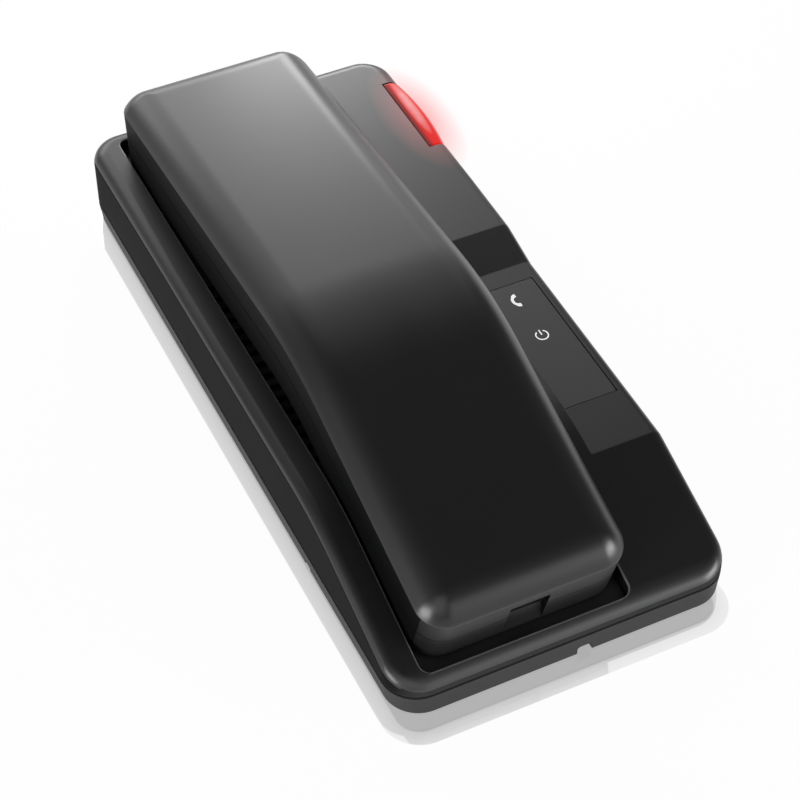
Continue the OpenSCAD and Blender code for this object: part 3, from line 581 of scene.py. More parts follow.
class Finishes:
    """Every finish of the telephone, one material each."""

    def __init__(self) -> None:
        """Builds the materials."""
        # The second colour here is a pale grey painted onto the case as light: a painted highlight on the well's lip
        # and painted light on the front wall.
        black, light_paint = (0.0075, 0.0076, 0.0079), (0.1, 0.101, 0.102)
        coarse = {"roughness": 0.6, "grain_per_m": 1800.0, "grain_depth": 0.01, "bump": 0.5}
        red_spill = Spill((0.27, 0.07, 0.07), (0.0425, 0.069, 0.0252), (0.0105, 0.0255, 0.03))
        self.case = Plastic("case_satin", black, roughness=0.34, uneven=0.05, grain_depth=0.006, bump=0.5, painted_light=light_paint,
                            spill=red_spill).material()
        # The case's upright walls take a darker copy of its finish, with little sheen: painted shade.
        self.shaded_case_side = Plastic("case_side_grain_painted_shade", (0.0055, 0.0056, 0.0058), specular=0.025, painted_light=light_paint,
                                 **coarse).material()
        self.lower = Plastic("lower_case_grain", (0.036, 0.0362, 0.0366), specular=0.2, **coarse).material()
        # The handset's pale colour is painted light on its mouth end and a painted highlight along the sole's edge.
        self.handset = Plastic("handset_satin", black, roughness=0.32, uneven=0.05, grain_depth=0.01, bump=0.6,
                               painted_light=(0.042, 0.0422, 0.0427)).material()
        # The handset's long sides take a darker copy of its finish, with little sheen: painted shade.
        self.shaded_flank = Plastic("handset_flank_grain_painted_shade", (0.0035, 0.0036, 0.0037), roughness=0.45, specular=0.02,
                             grain_depth=0.006, bump=0.5).material()
        self.jack = Plastic("socket_plastic", (0.03, 0.0305, 0.032), roughness=0.45).material()
        self.panel = Plastic("panel_film", (0.026, 0.0262, 0.0268), roughness=0.42, grain_per_m=5200.0,
                             grain_depth=0.002).material()
        self.key = Plastic("key_plastic", (0.55, 0.56, 0.57), roughness=0.42, variation=0.05).material()
        self.legend = Plastic("key_ink", (0.03, 0.03, 0.035), roughness=0.5, variation=0.3).material()
        self.rubber = Plastic("soft_rubber", (0.016, 0.016, 0.016), roughness=0.75, grain_per_m=1500.0,
                              grain_depth=0.02, bump=0.6).material()
        self.membrane = Plastic("silicone_mat", (0.3, 0.31, 0.32), roughness=0.6, variation=0.08).material()
        self.guide = Plastic("clear_guide", (0.8, 0.82, 0.83), roughness=0.1, variation=0.03,
                             grain_depth=0.001).material()
        self.steel = Metal("zinc_plate", (0.62, 0.63, 0.65)).material()
        self.pressed = Metal("pressed_steel", (0.32, 0.33, 0.35), roughness=0.4).material()
        self.contact = Metal("gold_contact", (0.85, 0.62, 0.22), roughness=0.22).material()
        self.board = CircuitBoard("circuit_board", (0.012, 0.11, 0.045), (0.035, 0.2, 0.08)).material()
        self.lamp = LitLens("red_lens", colour=(0.06, 0.003, 0.003), glow=(0.7, 0.015, 0.012), core=(0.97, 0.6, 0.61),
                            strength=1.0, centre=(0.0427, 0.0745, 0.0254), reach=(0.0021, 0.0165, 0.0027),
                            shade=(0.1, 0.02, 0.02), shade_x=(0.0399, 0.0417)).material()
        self.symbol = LitLens("lit_symbol", colour=(0.8, 0.8, 0.8), glow=(0.72, 0.72, 0.72), core=(0.8, 0.8, 0.8),
                              strength=0.6, centre=(0.034, -0.014, 0.022), reach=(0.012, 0.016, 0.01)).material()


# Shapes


@dataclass
class Deck:
    """Top of the base: a level back, an arc, and a front slope, with a sunk shelf on the right."""

    top: float = 25.2
    tilt_deg: float = 0.4
    slope_deg: float = 17.9
    slope_y: float = -52.9
    bend_r: float = 75.0
    edge_r: float = 2.9
    edge_back_r: float = 4.5
    edge_grow_y: float = 40.0
    half_w: float = 45.0
    half_l: float = 100.25
    shelf_x: float = 25.5
    shelf_z: float = 22.05
    ramp_top_y: float = 18.0
    ramp_low_y: float = 5.0
    shelf_edge_r: float = 0.35

    def height(self, y: Array) -> Array:
        """Height of the deck: two straight falls joined by an arc that touches both."""
        tilt, slope = math.radians(self.tilt_deg), math.radians(self.slope_deg)
        tangent = self.bend_r * math.tan((tilt + slope) / 2)
        cy = self.slope_y + tangent * math.cos(tilt) - self.bend_r * math.sin(tilt)
        cz = self.top - tangent * math.sin(tilt) - self.bend_r * math.cos(tilt)
        back = self.top - (y - self.slope_y) * math.tan(tilt)
        front = self.top - (self.slope_y - y) * math.tan(slope)
        arc = cz + np.sqrt(np.maximum(self.bend_r ** 2 - (y - cy) ** 2, 0.0))
        return np.where(y >= cy + self.bend_r * math.sin(tilt), back,
                        np.where(y <= cy - self.bend_r * math.sin(slope), front, arc))

    def shelf(self, y: Array) -> Array:
        """Height of the shelf: a straight ramp down from the deck, then level until it meets the front slope."""
        f = np.clip((self.ramp_top_y - y) / (self.ramp_top_y - self.ramp_low_y), 0.0, 1.0)
        ramp = self.height(self.ramp_top_y) * (1 - f) + self.shelf_z * f
        return np.where(y >= self.ramp_top_y, self.height(y), np.minimum(self.height(y), ramp))

    def surface(self, x: Array, y: Array) -> Array:
        """Height of deck and shelf, with a quarter-round edge where the deck drops to the shelf."""
        deck, shelf = self.height(y), self.shelf(y)
        r = self.shelf_edge_r
        inset = np.clip(x - (self.shelf_x - r), 0.0, r)
        edge = deck - np.minimum(deck - shelf, r - np.sqrt(np.maximum(r * r - inset * inset, 0.0)))
        return np.where(x > self.shelf_x, shelf, edge)

    def edge(self, y: Array) -> Array:
        """Radius of the top edge, which grows towards the back."""
        f = np.clip((y - self.edge_grow_y) / (self.half_l - self.edge_grow_y), 0.0, 1.0)
        return self.edge_r + (self.edge_back_r - self.edge_r) * f


@dataclass
class Spine:
    """Middle line of the handset: two straight limbs joined by an arc, in the plane of Y and Z."""

    centre_x: float = -9.45
    ear_tilt: float = math.radians(4.8)
    mouth_tilt: float = math.radians(16.7)
    bend_r: float = 77.5
    vertex_y: float = -22.2
    ear_len: float = 117.0
    mouth_len: float = 76.4
    rest_z: float = 20.3
    below: float = 9.5

    def __post_init__(self) -> None:
        """Works out the arc from the limbs."""
        turn = self.ear_tilt + self.mouth_tilt
        tangent = self.bend_r * math.tan(turn / 2)
        vertex_z = self.rest_z + self.below * math.cos(self.ear_tilt) + self.ear_len * math.sin(self.ear_tilt)
        self.arc = self.bend_r * turn
        self.s_ear = self.ear_len - tangent
        self.s_mouth = -self.arc - (self.mouth_len - tangent)
        reach = tangent * math.cos(self.ear_tilt) - self.bend_r * math.sin(self.ear_tilt)
        drop = tangent * math.sin(self.ear_tilt) + self.bend_r * math.cos(self.ear_tilt)
        self.cy, self.cz = self.vertex_y + reach, vertex_z - drop

    def place(self, x: Array | float, s: Array | float, v: Array | float) -> Array:
        """Points at x across, arc place s along and height v above the seam.

        Along the limbs a point moves straight, and round the bend it turns about the arc's centre.

        Args:
            x: Places across, from the handset's middle.
            s: Arc places, 0 where the ear limb meets the bend.
            v: Heights above the seam, square to the spine.

        Returns:
            Points, with a last axis of three.
        """
        x, s, v = np.broadcast_arrays(x, s, v)
        tilt = np.clip(self.ear_tilt + np.clip(s, -self.arc, 0.0) / self.bend_r, -self.mouth_tilt, self.ear_tilt)
        rest = np.where(s >= 0, s, np.where(s > -self.arc, 0.0, s + self.arc))
        reach = self.bend_r + v
        return points_of(self.centre_x + x, self.cy + reach * np.sin(tilt) + rest * np.cos(tilt),
                         self.cz + reach * np.cos(tilt) - rest * np.sin(tilt))


@dataclass
class BaseCase:
    """Upper case of the base, with the well, the ringer slots and the shelf."""

    deck: Deck
    spine: Spine
    finishes: Finishes
    corner_r: float = 9.0
    rim_z: float = 6.7
    wall: float = 2.2
    well: Box = (-36.9, 18.0, -97.0, 95.0)
    well_r: float = 2.5
    well_floor_z: float = 20.0
    well_knee_y: float = -45.0
    well_edge_r: float = 0.35
    well_fillet: float = 0.6
    plate_t: float = 1.8
    slot_count: int = 16
    slot_pitch: float = 4.45
    slot_w: float = 2.2
    slot_x: Pair = (-35.6, -12.6)
    hook: Box = (-30.8, -22.2, 66.7, 73.3)
    tab: Box = (-14.6, -4.3, 86.65, 89.35)
    lamp: Box = (39.45, 12.19, 55.15, 85.85)
    panel: Box = (25.5, 41.75, -46.45, -0.85)
    panel_deep: float = 1.0
    slope_meet_y: float = -62.65
    side_reach: float = 88.0
    # Painted light on the front wall: where it starts, how far it fades in and how strong it is.
    front_y: float = -95.5
    front_fade: float = 4.0
    front_light_paint: float = 0.28
    steep: float = 0.3
    seat_gap: float = 0.3
    station_count: int = 118
    end_count: int = 40
    bend_step: float = 0.25
    line_gap: float = 0.01
    rim_break: Pair = (0.07, 0.25)
    floor_past: Pair = (0.7, 0.5)
    floor_pitch: float = 8.0
    # Reach of the painted highlight on the well's lip.
    lip_slack: Pair = (0.05, 0.03)
    lip_share: float = 0.9

    def floor(self, y: Array) -> Array:
        """Height of the well's floor: level, then a straight fall that carries the mouthpiece."""
        seat = self.spine.place(0.0, self.spine.s_mouth, -self.spine.below)
        fall = (self.well_floor_z - (seat[2] - self.seat_gap)) / (self.well_knee_y - seat[1])
        return self.well_floor_z - fall * np.maximum(self.well_knee_y - y, 0.0)

    def top(self, x: Array, y: Array) -> Array:
        """Height of the upper case, with the panel's recess cut into the shelf."""
        x0, x1, y0, y1 = self.panel
        inside = (x > x0) & (x < x1) & (y > y0) & (y < y1)
        return self.deck.surface(x, y) - self.panel_deep * inside

    def side_stations(self) -> Array:
        """Places along the base, with a close pair at each step in the surface."""
        steps = np.array([self.panel[2], self.panel[3], self.lamp[2], self.lamp[3]])
        bends = np.array([self.deck.ramp_top_y, self.deck.ramp_low_y, self.slope_meet_y])
        pairs = np.concatenate([steps - STEP / 2, steps + STEP / 2, bends - self.bend_step, bends,
                                bends + self.bend_step])
        plain = np.linspace(-self.side_reach, self.side_reach, self.station_count)
        near = np.abs(plain[:, None] - pairs[None, :]).min(axis=1) < 0.8 * self.bend_step
        return np.sort(np.concatenate([plain[~near], pairs]))

    def skin(self) -> Array:
        """Closed ring of the upper case between its outline and its well.

        One parameter runs round the base, with the outline and the well's edge matched point for point. The
        other runs across the deck from the well's edge, round the top edge, down the wall, under the rim and up
        the well's wall. Heights come from the deck and the shelf, and in the lamp's length the path steps into
        the opening that the lens fills.

        Returns:
            Grid of points, with both parameters closed.
        """
        d = self.deck
        y = self.side_stations()
        ends = inner(self.end_count)
        rim, well = (
            rounded_loop(box, r, (y - box[2] - r) / (box[3] - box[2] - 2 * r), ends)
            for box, r in (((-d.half_w, d.half_w, -d.half_l, d.half_l), self.corner_r), (self.well, self.well_r)))
        n = len(rim)
        right = np.arange(n) < y.size

        edge = d.edge(rim[:, 1])
        start = well[:, :2] + self.well_edge_r * well[:, 2:]
        stop = rim[:, :2] - edge[:, None] * rim[:, 2:]
        marks = np.array([18.35, 18.55, 19.2, 21.0, 23.2, 24.6, 25.15, 25.24, 25.33, 25.41, 25.46,
                          d.shelf_x - STEP / 2, d.shelf_x + STEP / 2, 25.7, 27.0, 30.0, 34.0, 38.0, self.lamp[0],
                          self.panel[1] - STEP / 2, self.panel[1] + STEP / 2, d.half_w - d.edge_r])
        tau = np.repeat(((marks - marks[0]) / (marks[-1] - marks[0]))[:, None], n, axis=1)
        room = stop[right, 0] - start[right, 0]
        order = np.arange(marks.size)[::-1, None]
        tau[:, right] = np.minimum((marks[:, None] - start[right, 0]) / room, 1.0 - self.line_gap * order / room)
        tau[0], tau[-1] = 0.0, 1.0
        flat = start[None] * (1 - tau[..., None]) + stop[None] * tau[..., None]
        deck_part = np.dstack([flat, self.top(flat[..., 0], flat[..., 1])])

        a = np.linspace(QUARTER, 0.0, 13)[1:, None]
        ring_part = drawn_in(rim, edge * (1 - np.cos(a)), 0.0)
        ring_part[..., 2] = d.surface(ring_part[..., 0], ring_part[..., 1]) - edge * (1 - np.sin(a))

        low, (half_way, full) = self.rim_z, self.rim_break
        foot = np.array([[0.33], [0.66], [1.0]])
        wall_part = drawn_in(rim, 0.0, ring_part[-1, :, 2] * (1 - foot) + (low + full) * foot)
        under_part = drawn_in(rim, np.array([[half_way], [full], [self.wall]]),
                              np.array([[low + half_way], [low], [low]]))

        f = self.well_fillet
        floor = self.floor(well[:, 1])
        lip = d.surface(start[:, 0], start[:, 1])
        b = np.linspace(QUARTER, 0.0, 5)[:, None]
        c = np.linspace(0.0, QUARTER, 6)[:-1, None]
        depth = np.vstack([[[f]], f * np.sin(b), -self.well_edge_r * (1 - np.cos(c))])
        rise = np.vstack([floor - f, floor + f * (1 - np.cos(b)), lip - self.well_edge_r * (1 - np.sin(c))])
        well_part = drawn_in(well, depth, rise)

        path = np.concatenate([deck_part, ring_part, wall_part, under_part, well_part])
        first = int(np.argmin(np.abs(marks - self.lamp[0])))
        last = marks.size + len(a) + 1
        cut = right & (rim[:, 1] > self.lamp[2]) & (rim[:, 1] < self.lamp[3])
        k = np.linspace(0.0, 2.0, last - first + 1)[:, None]
        roof = path[first, cut, 2]
        path[first:last + 1, cut, 0] = self.lamp[0] + (d.half_w - self.lamp[0]) * np.clip(k - 1, 0, 1)
        path[first:last + 1, cut, 2] = roof + (self.lamp[1] - roof) * np.clip(k, 0, 1)
        return path

    def painted_light_of_lip_and_front(self, points: Array) -> Array:
        """How much painted light each point takes: a full painted highlight on the well's rounded lip, and over a
        quarter on the front wall, which is lightened as if lit from the front; none elsewhere.

        A point is on the lip where its distance outside the well's rounded outline is within the lip's radius and
        it is no deeper than that radius.

        Args:
            points: Places in millimetres.

        Returns:
            Share of painted light between 0 and 1.
        """
        w = np.array(self.well).reshape(2, 2)
        over = np.abs(points[:, :2] - w.mean(axis=1)) - (w[:, 1] - w[:, 0]) / 2 + self.well_r
        out = np.hypot(*np.maximum(over, 0.0).T) + np.minimum(over.max(axis=1), 0.0) - self.well_r
        high = points[:, 2] > self.deck.surface(points[:, 0], points[:, 1]) - self.well_edge_r * self.lip_share
        lip = (out > -self.lip_slack[0]) & (out < self.well_edge_r + self.lip_slack[1]) & high
        front = self.front_light_paint * np.clip((self.front_y - points[:, 1]) / self.front_fade, 0.0, 1.0)
        return np.where(lip, 1.0, front).astype(np.float32)

    def slots(self) -> list[Box]:
        """Openings in the well's floor: the ringer slots, the hook's hole and the tab's hole."""
        mid = (np.arange(self.slot_count) - (self.slot_count - 1) / 2) * self.slot_pitch
        rows = [(*self.slot_x, float(m - self.slot_w / 2), float(m + self.slot_w / 2)) for m in mid]
        return rows + [self.hook, self.tab]

    def build(self) -> None:
        """Makes the upper case from its ring and its pierced floor."""
        patch = Patchwork()
        patch.grid(self.skin(), wrap_rows=True)
        holes = np.array(self.slots())
        w, (past_x, past_y) = self.well, self.floor_past
        x = lines([w[0] - past_x, w[1] + past_x, *holes[:, 0], *holes[:, 1]], self.floor_pitch)
        y = lines([w[2] - past_y, w[3] + past_y, self.well_knee_y, *holes[:, 2], *holes[:, 3]], self.floor_pitch)
        patch.plate(x, y, holes, lambda px, py: points_of(px, py, self.floor(py)),
                    lambda px, py: points_of(px, py, self.floor(py) - self.plate_t))
        # The well's lip and the front wall take painted light, and the upright faces take the darker copy of the
        # finish, which is painted shade.
        patch.piece(Tag("upper_case", self.finishes.case, "base", Slot.CASE, ("base_upper_case",)), self.painted_light_of_lip_and_front,
                    (self.finishes.shaded_case_side, lambda normals: np.abs(normals[:, 2]) < self.steep))


@dataclass
class MessageLamp:
    """Red lens that wraps over the right edge of the base, bowed along its length."""

    deck: Deck
    finishes: Finishes
    middle_y: float = 70.5
    length: float = 30.0
    bulge: float = 1.4
    depth: float = 5.2
    tall: float = 12.0
    shoulder_r: float = 4.0
    end_r: float = 0.5
    foot_r: float = 0.3
    run_count: int = 30
    run_share: float = 0.97

    def build(self) -> None:
        """Makes the lens.

        One parameter runs along the lens, and the other round its section: inner top edge, level top, quarter
        round of the shoulder, upright side, and back underneath. The side follows a circle arc over the bulge,
        and the ends draw in by their small radius.
        """
        half = self.length / 2
        bow_r = (half ** 2 + self.bulge ** 2) / (2 * self.bulge)
        a = np.linspace(0.0, QUARTER, 7)
        cap, start = self.end_r * (1 - np.sin(a)), half - self.end_r * (1 - np.cos(a))
        tuck = np.concatenate([cap, np.zeros(self.run_count), cap[::-1]])
        along = (half - self.end_r) * np.linspace(-self.run_share, self.run_share, self.run_count)
        run = np.concatenate([-start, along, start[::-1]])
        y = self.middle_y + run
        side = self.deck.half_w + self.bulge - bow_r + np.sqrt(bow_r ** 2 - run ** 2) - tuck
        top = float(self.deck.height(self.middle_y)) - tuck
        low = top[len(a)] - self.tall + tuck
        back = np.full_like(y, self.deck.half_w - self.depth)
        turn = np.linspace(0.0, QUARTER, 15)[:, None]
        r = self.shoulder_r
        x = np.vstack([back, (back + side - r) / 2, side - r + r * np.sin(turn), side, side - self.foot_r, back])
        z = np.vstack([top, top, top - r * (1 - np.cos(turn)), low + self.foot_r, low, low])
        rows = np.swapaxes(points_of(x, y, z), 0, 1)
        caps = np.broadcast_to(rows.mean(axis=1, keepdims=True), rows.shape)
        patch = Patchwork()
        patch.grid(np.concatenate([caps[:1], rows, caps[-1:]]))
        patch.piece(Tag("lamp_lens", self.finishes.lamp, "base", Slot.LAMP, ("message_lamp_lens",)))


@dataclass
class IndicatorPanel:
    """Printed film panel on the shelf, with a lit handset symbol and a lit power symbol."""

    finishes: Finishes
    box: Box = (25.65, 41.55, -46.3, -1.0)
    top: float = 22.05
    thick: float = 1.0
    corner_r: float = 0.6
    edge_r: float = 0.15
    symbol_x: float = 34.0
    symbol_y: Pair = (-7.0, -21.0)
    ink_h: float = 0.03
    ink_root: float = 0.05
    arc_deg: Pair = (97.0, 263.0)
    arc_size: Pair = (1.75, 1.9)
    arc_shift: float = 0.75
    arc_half: Pair = (0.36, 0.2)
    arc_swell: Pair = (0.55, 0.12)
    ring_r: float = 1.62
    ring_gap_deg: float = 32.0
    ring_half: float = 0.17
    stroke: Pair = (0.1, 1.95)

    def build(self) -> None:
        """Makes the panel and its two symbols."""
        a = np.linspace(0.0, QUARTER, 5)
        insets = [*(self.edge_r * (1 - np.sin(a))), 0.0]
        levels = [*(self.top - self.edge_r * (1 - np.cos(a))), self.top - self.thick]
        patch = Patchwork()
        patch.block(self.box, self.corner_r, insets, levels, (8, 4, 6), points_of)
        patch.piece(Tag("indicator_film", self.finishes.panel, "base", Slot.PANEL, ("indicator_panel",)))
        self.handset_symbol()
        self.power_symbol()

    def strip(self, patch: Patchwork, mid: Array, across: Array, half: Array) -> None:
        """Adds a thin closed strip: a middle line widened both ways, from just under the film to just over it.

        Args:
            patch: Where it goes.
            mid: Points of the middle line.
            across: Directions across it.
            half: Half widths along it.
        """
        sides = np.stack([half, -half, -half, half], axis=1)[..., None]
        spots = mid[:, None] + across[:, None] * sides
        ink, under = self.top + self.ink_h, self.top - self.ink_root
        section = points_of(spots[..., 0], spots[..., 1], np.array([ink, ink, under, under]))
        cap = section.mean(axis=1, keepdims=True).repeat(4, axis=1)
        patch.grid(np.concatenate([cap[:1], section, cap[-1:]]))

    def handset_symbol(self) -> None:
        """A handset: an arc that is thin in its middle and broad at its two ends."""
        t = np.linspace(*np.radians(self.arc_deg), 41)
        ray = np.column_stack([np.cos(t), np.sin(t)])
        mid = np.array([self.symbol_x + self.arc_shift, self.symbol_y[0]]) + ray * self.arc_size
        swell = (np.abs(np.linspace(-1.0, 1.0, t.size)) - self.arc_swell[0]) / self.arc_swell[1]
        half = self.arc_half[0] + self.arc_half[1] * np.clip(swell, 0.0, 1.0)
        patch = Patchwork()
        self.strip(patch, mid, ray, half)
        patch.piece(Tag("symbol_handset", self.finishes.symbol, "base", Slot.GUIDE))

    def power_symbol(self) -> None:
        """A broken ring with an upright stroke in its gap."""
        t = np.linspace(*np.radians([90.0 + self.ring_gap_deg, 450.0 - self.ring_gap_deg]), 61)
        ray = np.column_stack([np.cos(t), np.sin(t)])
        centre = np.array([self.symbol_x, self.symbol_y[1]])
        patch = Patchwork()
        self.strip(patch, centre + self.ring_r * ray, ray, np.full(t.size, self.ring_half))
        stroke = centre + np.column_stack([np.zeros(2), self.stroke])
        self.strip(patch, stroke, np.array([[1.0, 0.0], [1.0, 0.0]]), np.full(2, self.ring_half))
        patch.piece(Tag("symbol_power", self.finishes.symbol, "base", Slot.GUIDE))


@dataclass
class Handset:
    """Outer and inner shell of the arched handset."""

    spine: Spine
    finishes: Finishes
    half_w: float = 26.75
    corner_r: float = 7.5
    up: float = 13.0
    down: float = 9.5
    shoulder_w: float = 8.5
    shoulder_h: float = 5.5
    ease_w: float = 9.8
    ease: float = 0.16
    shoulder_lean: float = math.radians(50.0)
    rim_v: float = 0.18
    sole_r: float = 1.2
    shell_t: float = 2.0
    notch_half: float = 5.2
    notch_top: float = 5.0
    notch_low: float = -1.2
    notch_deep: float = 2.45
    scoop_low: float = -7.6
    face_inset: float = 3.5
    upright: float = 0.93
    crown_lines: tuple[float, ...] = (21.0, 16.0, 13.0, 11.0)
    wall_levels: tuple[float, ...] = (6.0, 3.0, 1.5)
    side_levels: tuple[float, ...] = (-2.4, -3.6, -4.8, -6.0)
    inner_v: float = 6.5
    # Painted light on the mouth end: its lowest share, its rise towards the crease, its share in the notch, the
    # highlight on the sole's edge and its reach.
    end_paint_low: float = 0.25
    end_paint_rise: Pair = (0.4, 0.3)
    end_paint_notch: float = 0.15
    end_paint_edge: float = 0.9
    end_paint_reach: float = 0.6

    def loop(self, inset: float) -> Array:
        """Outline of the handset at an inset, as places across and along the spine; square where the face begins."""
        s = self.spine
        half = max(self.half_w - inset, 0.0)
        r = SQUARE if inset == self.face_inset else min(max(self.corner_r - inset, 0.4), half)
        step = np.array([self.notch_half - STEP / 2, self.notch_half + STEP / 2])
        reach = max(half - r, 1.0e-6)
        near = np.clip(step / (2 * reach), 0.0, 0.45)
        across = np.sort(np.concatenate([0.5 - near, 0.5 + near, inner(15)]))
        return rounded_loop((-half, half, s.s_mouth + inset, s.s_ear - inset), r, inner(100), across, 14)

    def sweep(self, path: Array) -> Array:
        """Grid over a path of insets and heights: one parameter along the path, the other round the outline."""
        return np.stack([self.spine.place(*self.loop(inset)[:, :2].T, v) for inset, v in path])

    def crown(self) -> Array:
        """Path of the outer shell from its middle over the shoulder and the crisp crease to the rim.

        The shoulder's lean grows in step with the way along it, and eases in where it leaves the level top.
        """
        u = np.linspace(0.0, 1.0, 241)
        eased = np.hypot(u, self.ease) - self.ease
        lean = self.shoulder_lean * eased / eased[-1]
        run, drop = np.cumsum(np.cos(lean)), np.cumsum(np.sin(lean))
        run, drop = run - run[0], drop - drop[0]
        shoulder = np.column_stack([self.ease_w * (1 - run / run[-1]), self.up - self.shoulder_h * drop / drop[-1]])
        middle = np.array([[inset, self.up] for inset in (self.half_w, *self.crown_lines)])
        notch = (self.notch_top + STEP / 2, self.notch_top - STEP / 2)
        upright = np.array([[0.0, v] for v in sorted((*self.wall_levels, *notch, self.rim_v), reverse=True)])
        roof = self.up - self.shell_t
        back = np.array([[self.shell_t, self.rim_v], [self.shell_t, self.inner_v], [self.shoulder_w, roof],
                         [self.half_w, roof]])
        return np.vstack([middle, shoulder[::10], upright, back])

    def shaded_flank(self, normals: Array) -> Array:
        """Which faces belong to the two long sides, by their normals; they take the darker finish that is painted
        shade.
        """
        return np.abs(normals[:, 0]) > self.upright

    def painted_end_light(self, points: Array) -> Array:
        """How much painted light each point takes: the end wall is lightened where it faces the front, more towards
        the crease, with a painted highlight along the sole's bottom edge and only a little inside the socket's notch.

        Args:
            points: Places in millimetres.

        Returns:
            Share of painted light between 0 and 1.
        """
        s = self.spine
        end = s.place(0.0, s.s_mouth, 0.0)
        turn = s.mouth_tilt
        back = (points[:, 1] - end[1]) * math.cos(turn) + (points[:, 2] - end[2]) * math.sin(turn)
        high = (points[:, 2] - end[2]) * math.cos(turn) - (points[:, 1] - end[1]) * math.sin(turn)
        rim = back < self.sole_r + 0.1
        wall = (back < self.corner_r) & (high < self.up - self.shoulder_h + 0.01) & (rim | (high > 0.01 - self.down))
        level = np.clip((high + self.down) / (self.up - self.shoulder_h + self.down), 0.0, 1.0)
        edge = rim & (np.abs(high + self.down - 0.3 * self.sole_r) < 0.5 * self.sole_r)
        rise = np.clip((level - self.end_paint_rise[0]) / self.end_paint_rise[1], 0.0, 1.0)
        notch = (np.abs(points[:, 0] - end[0]) < self.notch_half + 0.1) & (back > 0.3)
        share = np.where(notch, self.end_paint_notch, self.end_paint_low + (1 - self.end_paint_low) * rise)
        near = np.clip(1.0 - back / (self.end_paint_reach * self.corner_r), 0.0, 1.0)
        return (np.where(edge, self.end_paint_edge, share) * wall * np.where(notch, 1.0, near)).astype(np.float32)

    def hollow(self, grid: Array, path: Array, low: float, high: float) -> None:
        """Pushes the end wall inwards between two heights over the socket's width, in place.

        Below the seam the depth falls off to nothing, which leaves a scoop for the fingertip.

        Args:
            grid: The swept points.
            path: Insets and heights of its rows.
            low: Lowest height of the notch.
            high: Highest height of the notch.
        """
        for k, (inset, v) in enumerate(path):
            if low < v < high and inset < self.shell_t:
                loop = self.loop(inset)
                inside = (np.abs(loop[:, 0]) < self.notch_half) & (loop[:, 1] < self.spine.s_mouth + 3.0)
                deep = self.notch_deep * min(1.0, (v - low) / (self.notch_low - low) if low < self.notch_low else 1.0)
                grid[k, inside] = self.spine.place(loop[inside, 0], self.spine.s_mouth + max(deep, inset), v)

    def build(self) -> None:
        """Makes both shells."""
        patch = Patchwork()
        path = self.crown()
        grid = self.sweep(path)
        self.hollow(grid, path, -1.0, self.notch_top)
        patch.grid(grid)
        shell = Tag("handset_crown", self.finishes.handset, "handset", Slot.HANDSET, ("handset_outer_shell",),
                    sharp_deg=18.0)
        # The mouth end takes painted light, and the long sides take the darker copy of the finish, which is painted
        # shade.
        patch.piece(shell, self.painted_end_light, (self.finishes.shaded_flank, self.shaded_flank))
        self.build_sole()

    def build_sole(self) -> None:
        """Makes the inner shell: a closed ring for its side, edge and seam lip, and a pierced plate for its face."""
        b = np.linspace(0.0, QUARTER, 9)
        turn = np.column_stack([self.sole_r * (1 - np.cos(b)), -self.down + self.sole_r * (1 - np.sin(b))])
        lip = (self.shell_t / 2, self.rim_v - 0.01)
        top = np.array([[self.shell_t, lip[1]], lip, [lip[0], -self.rim_v], [0.0, -self.rim_v]])
        levels = (self.notch_low, *self.side_levels, self.scoop_low + STEP, self.scoop_low)
        side = np.array([[0.0, v] for v in levels])
        inset, back = self.face_inset, -self.down + self.shell_t
        face = np.array([[self.sole_r + 0.4, -self.down], [inset, -self.down], [inset, back], [self.shell_t, back]])
        path = np.vstack([top, side, turn, face])
        grid = self.sweep(path)
        self.hollow(grid, path, self.scoop_low, 0.0)
        patch = Patchwork()
        patch.grid(grid, wrap_rows=True)
        Keypad(self).pierce(patch)
        shell = Tag("handset_sole", self.finishes.handset, "handset", Slot.HANDSET, ("handset_inner_shell",),
                    sharp_deg=20.0)
        # The mouth end takes painted light, and the long sides take the darker copy of the finish, which is painted
        # shade.
        patch.piece(shell, self.painted_end_light, (self.finishes.shaded_flank, self.shaded_flank))


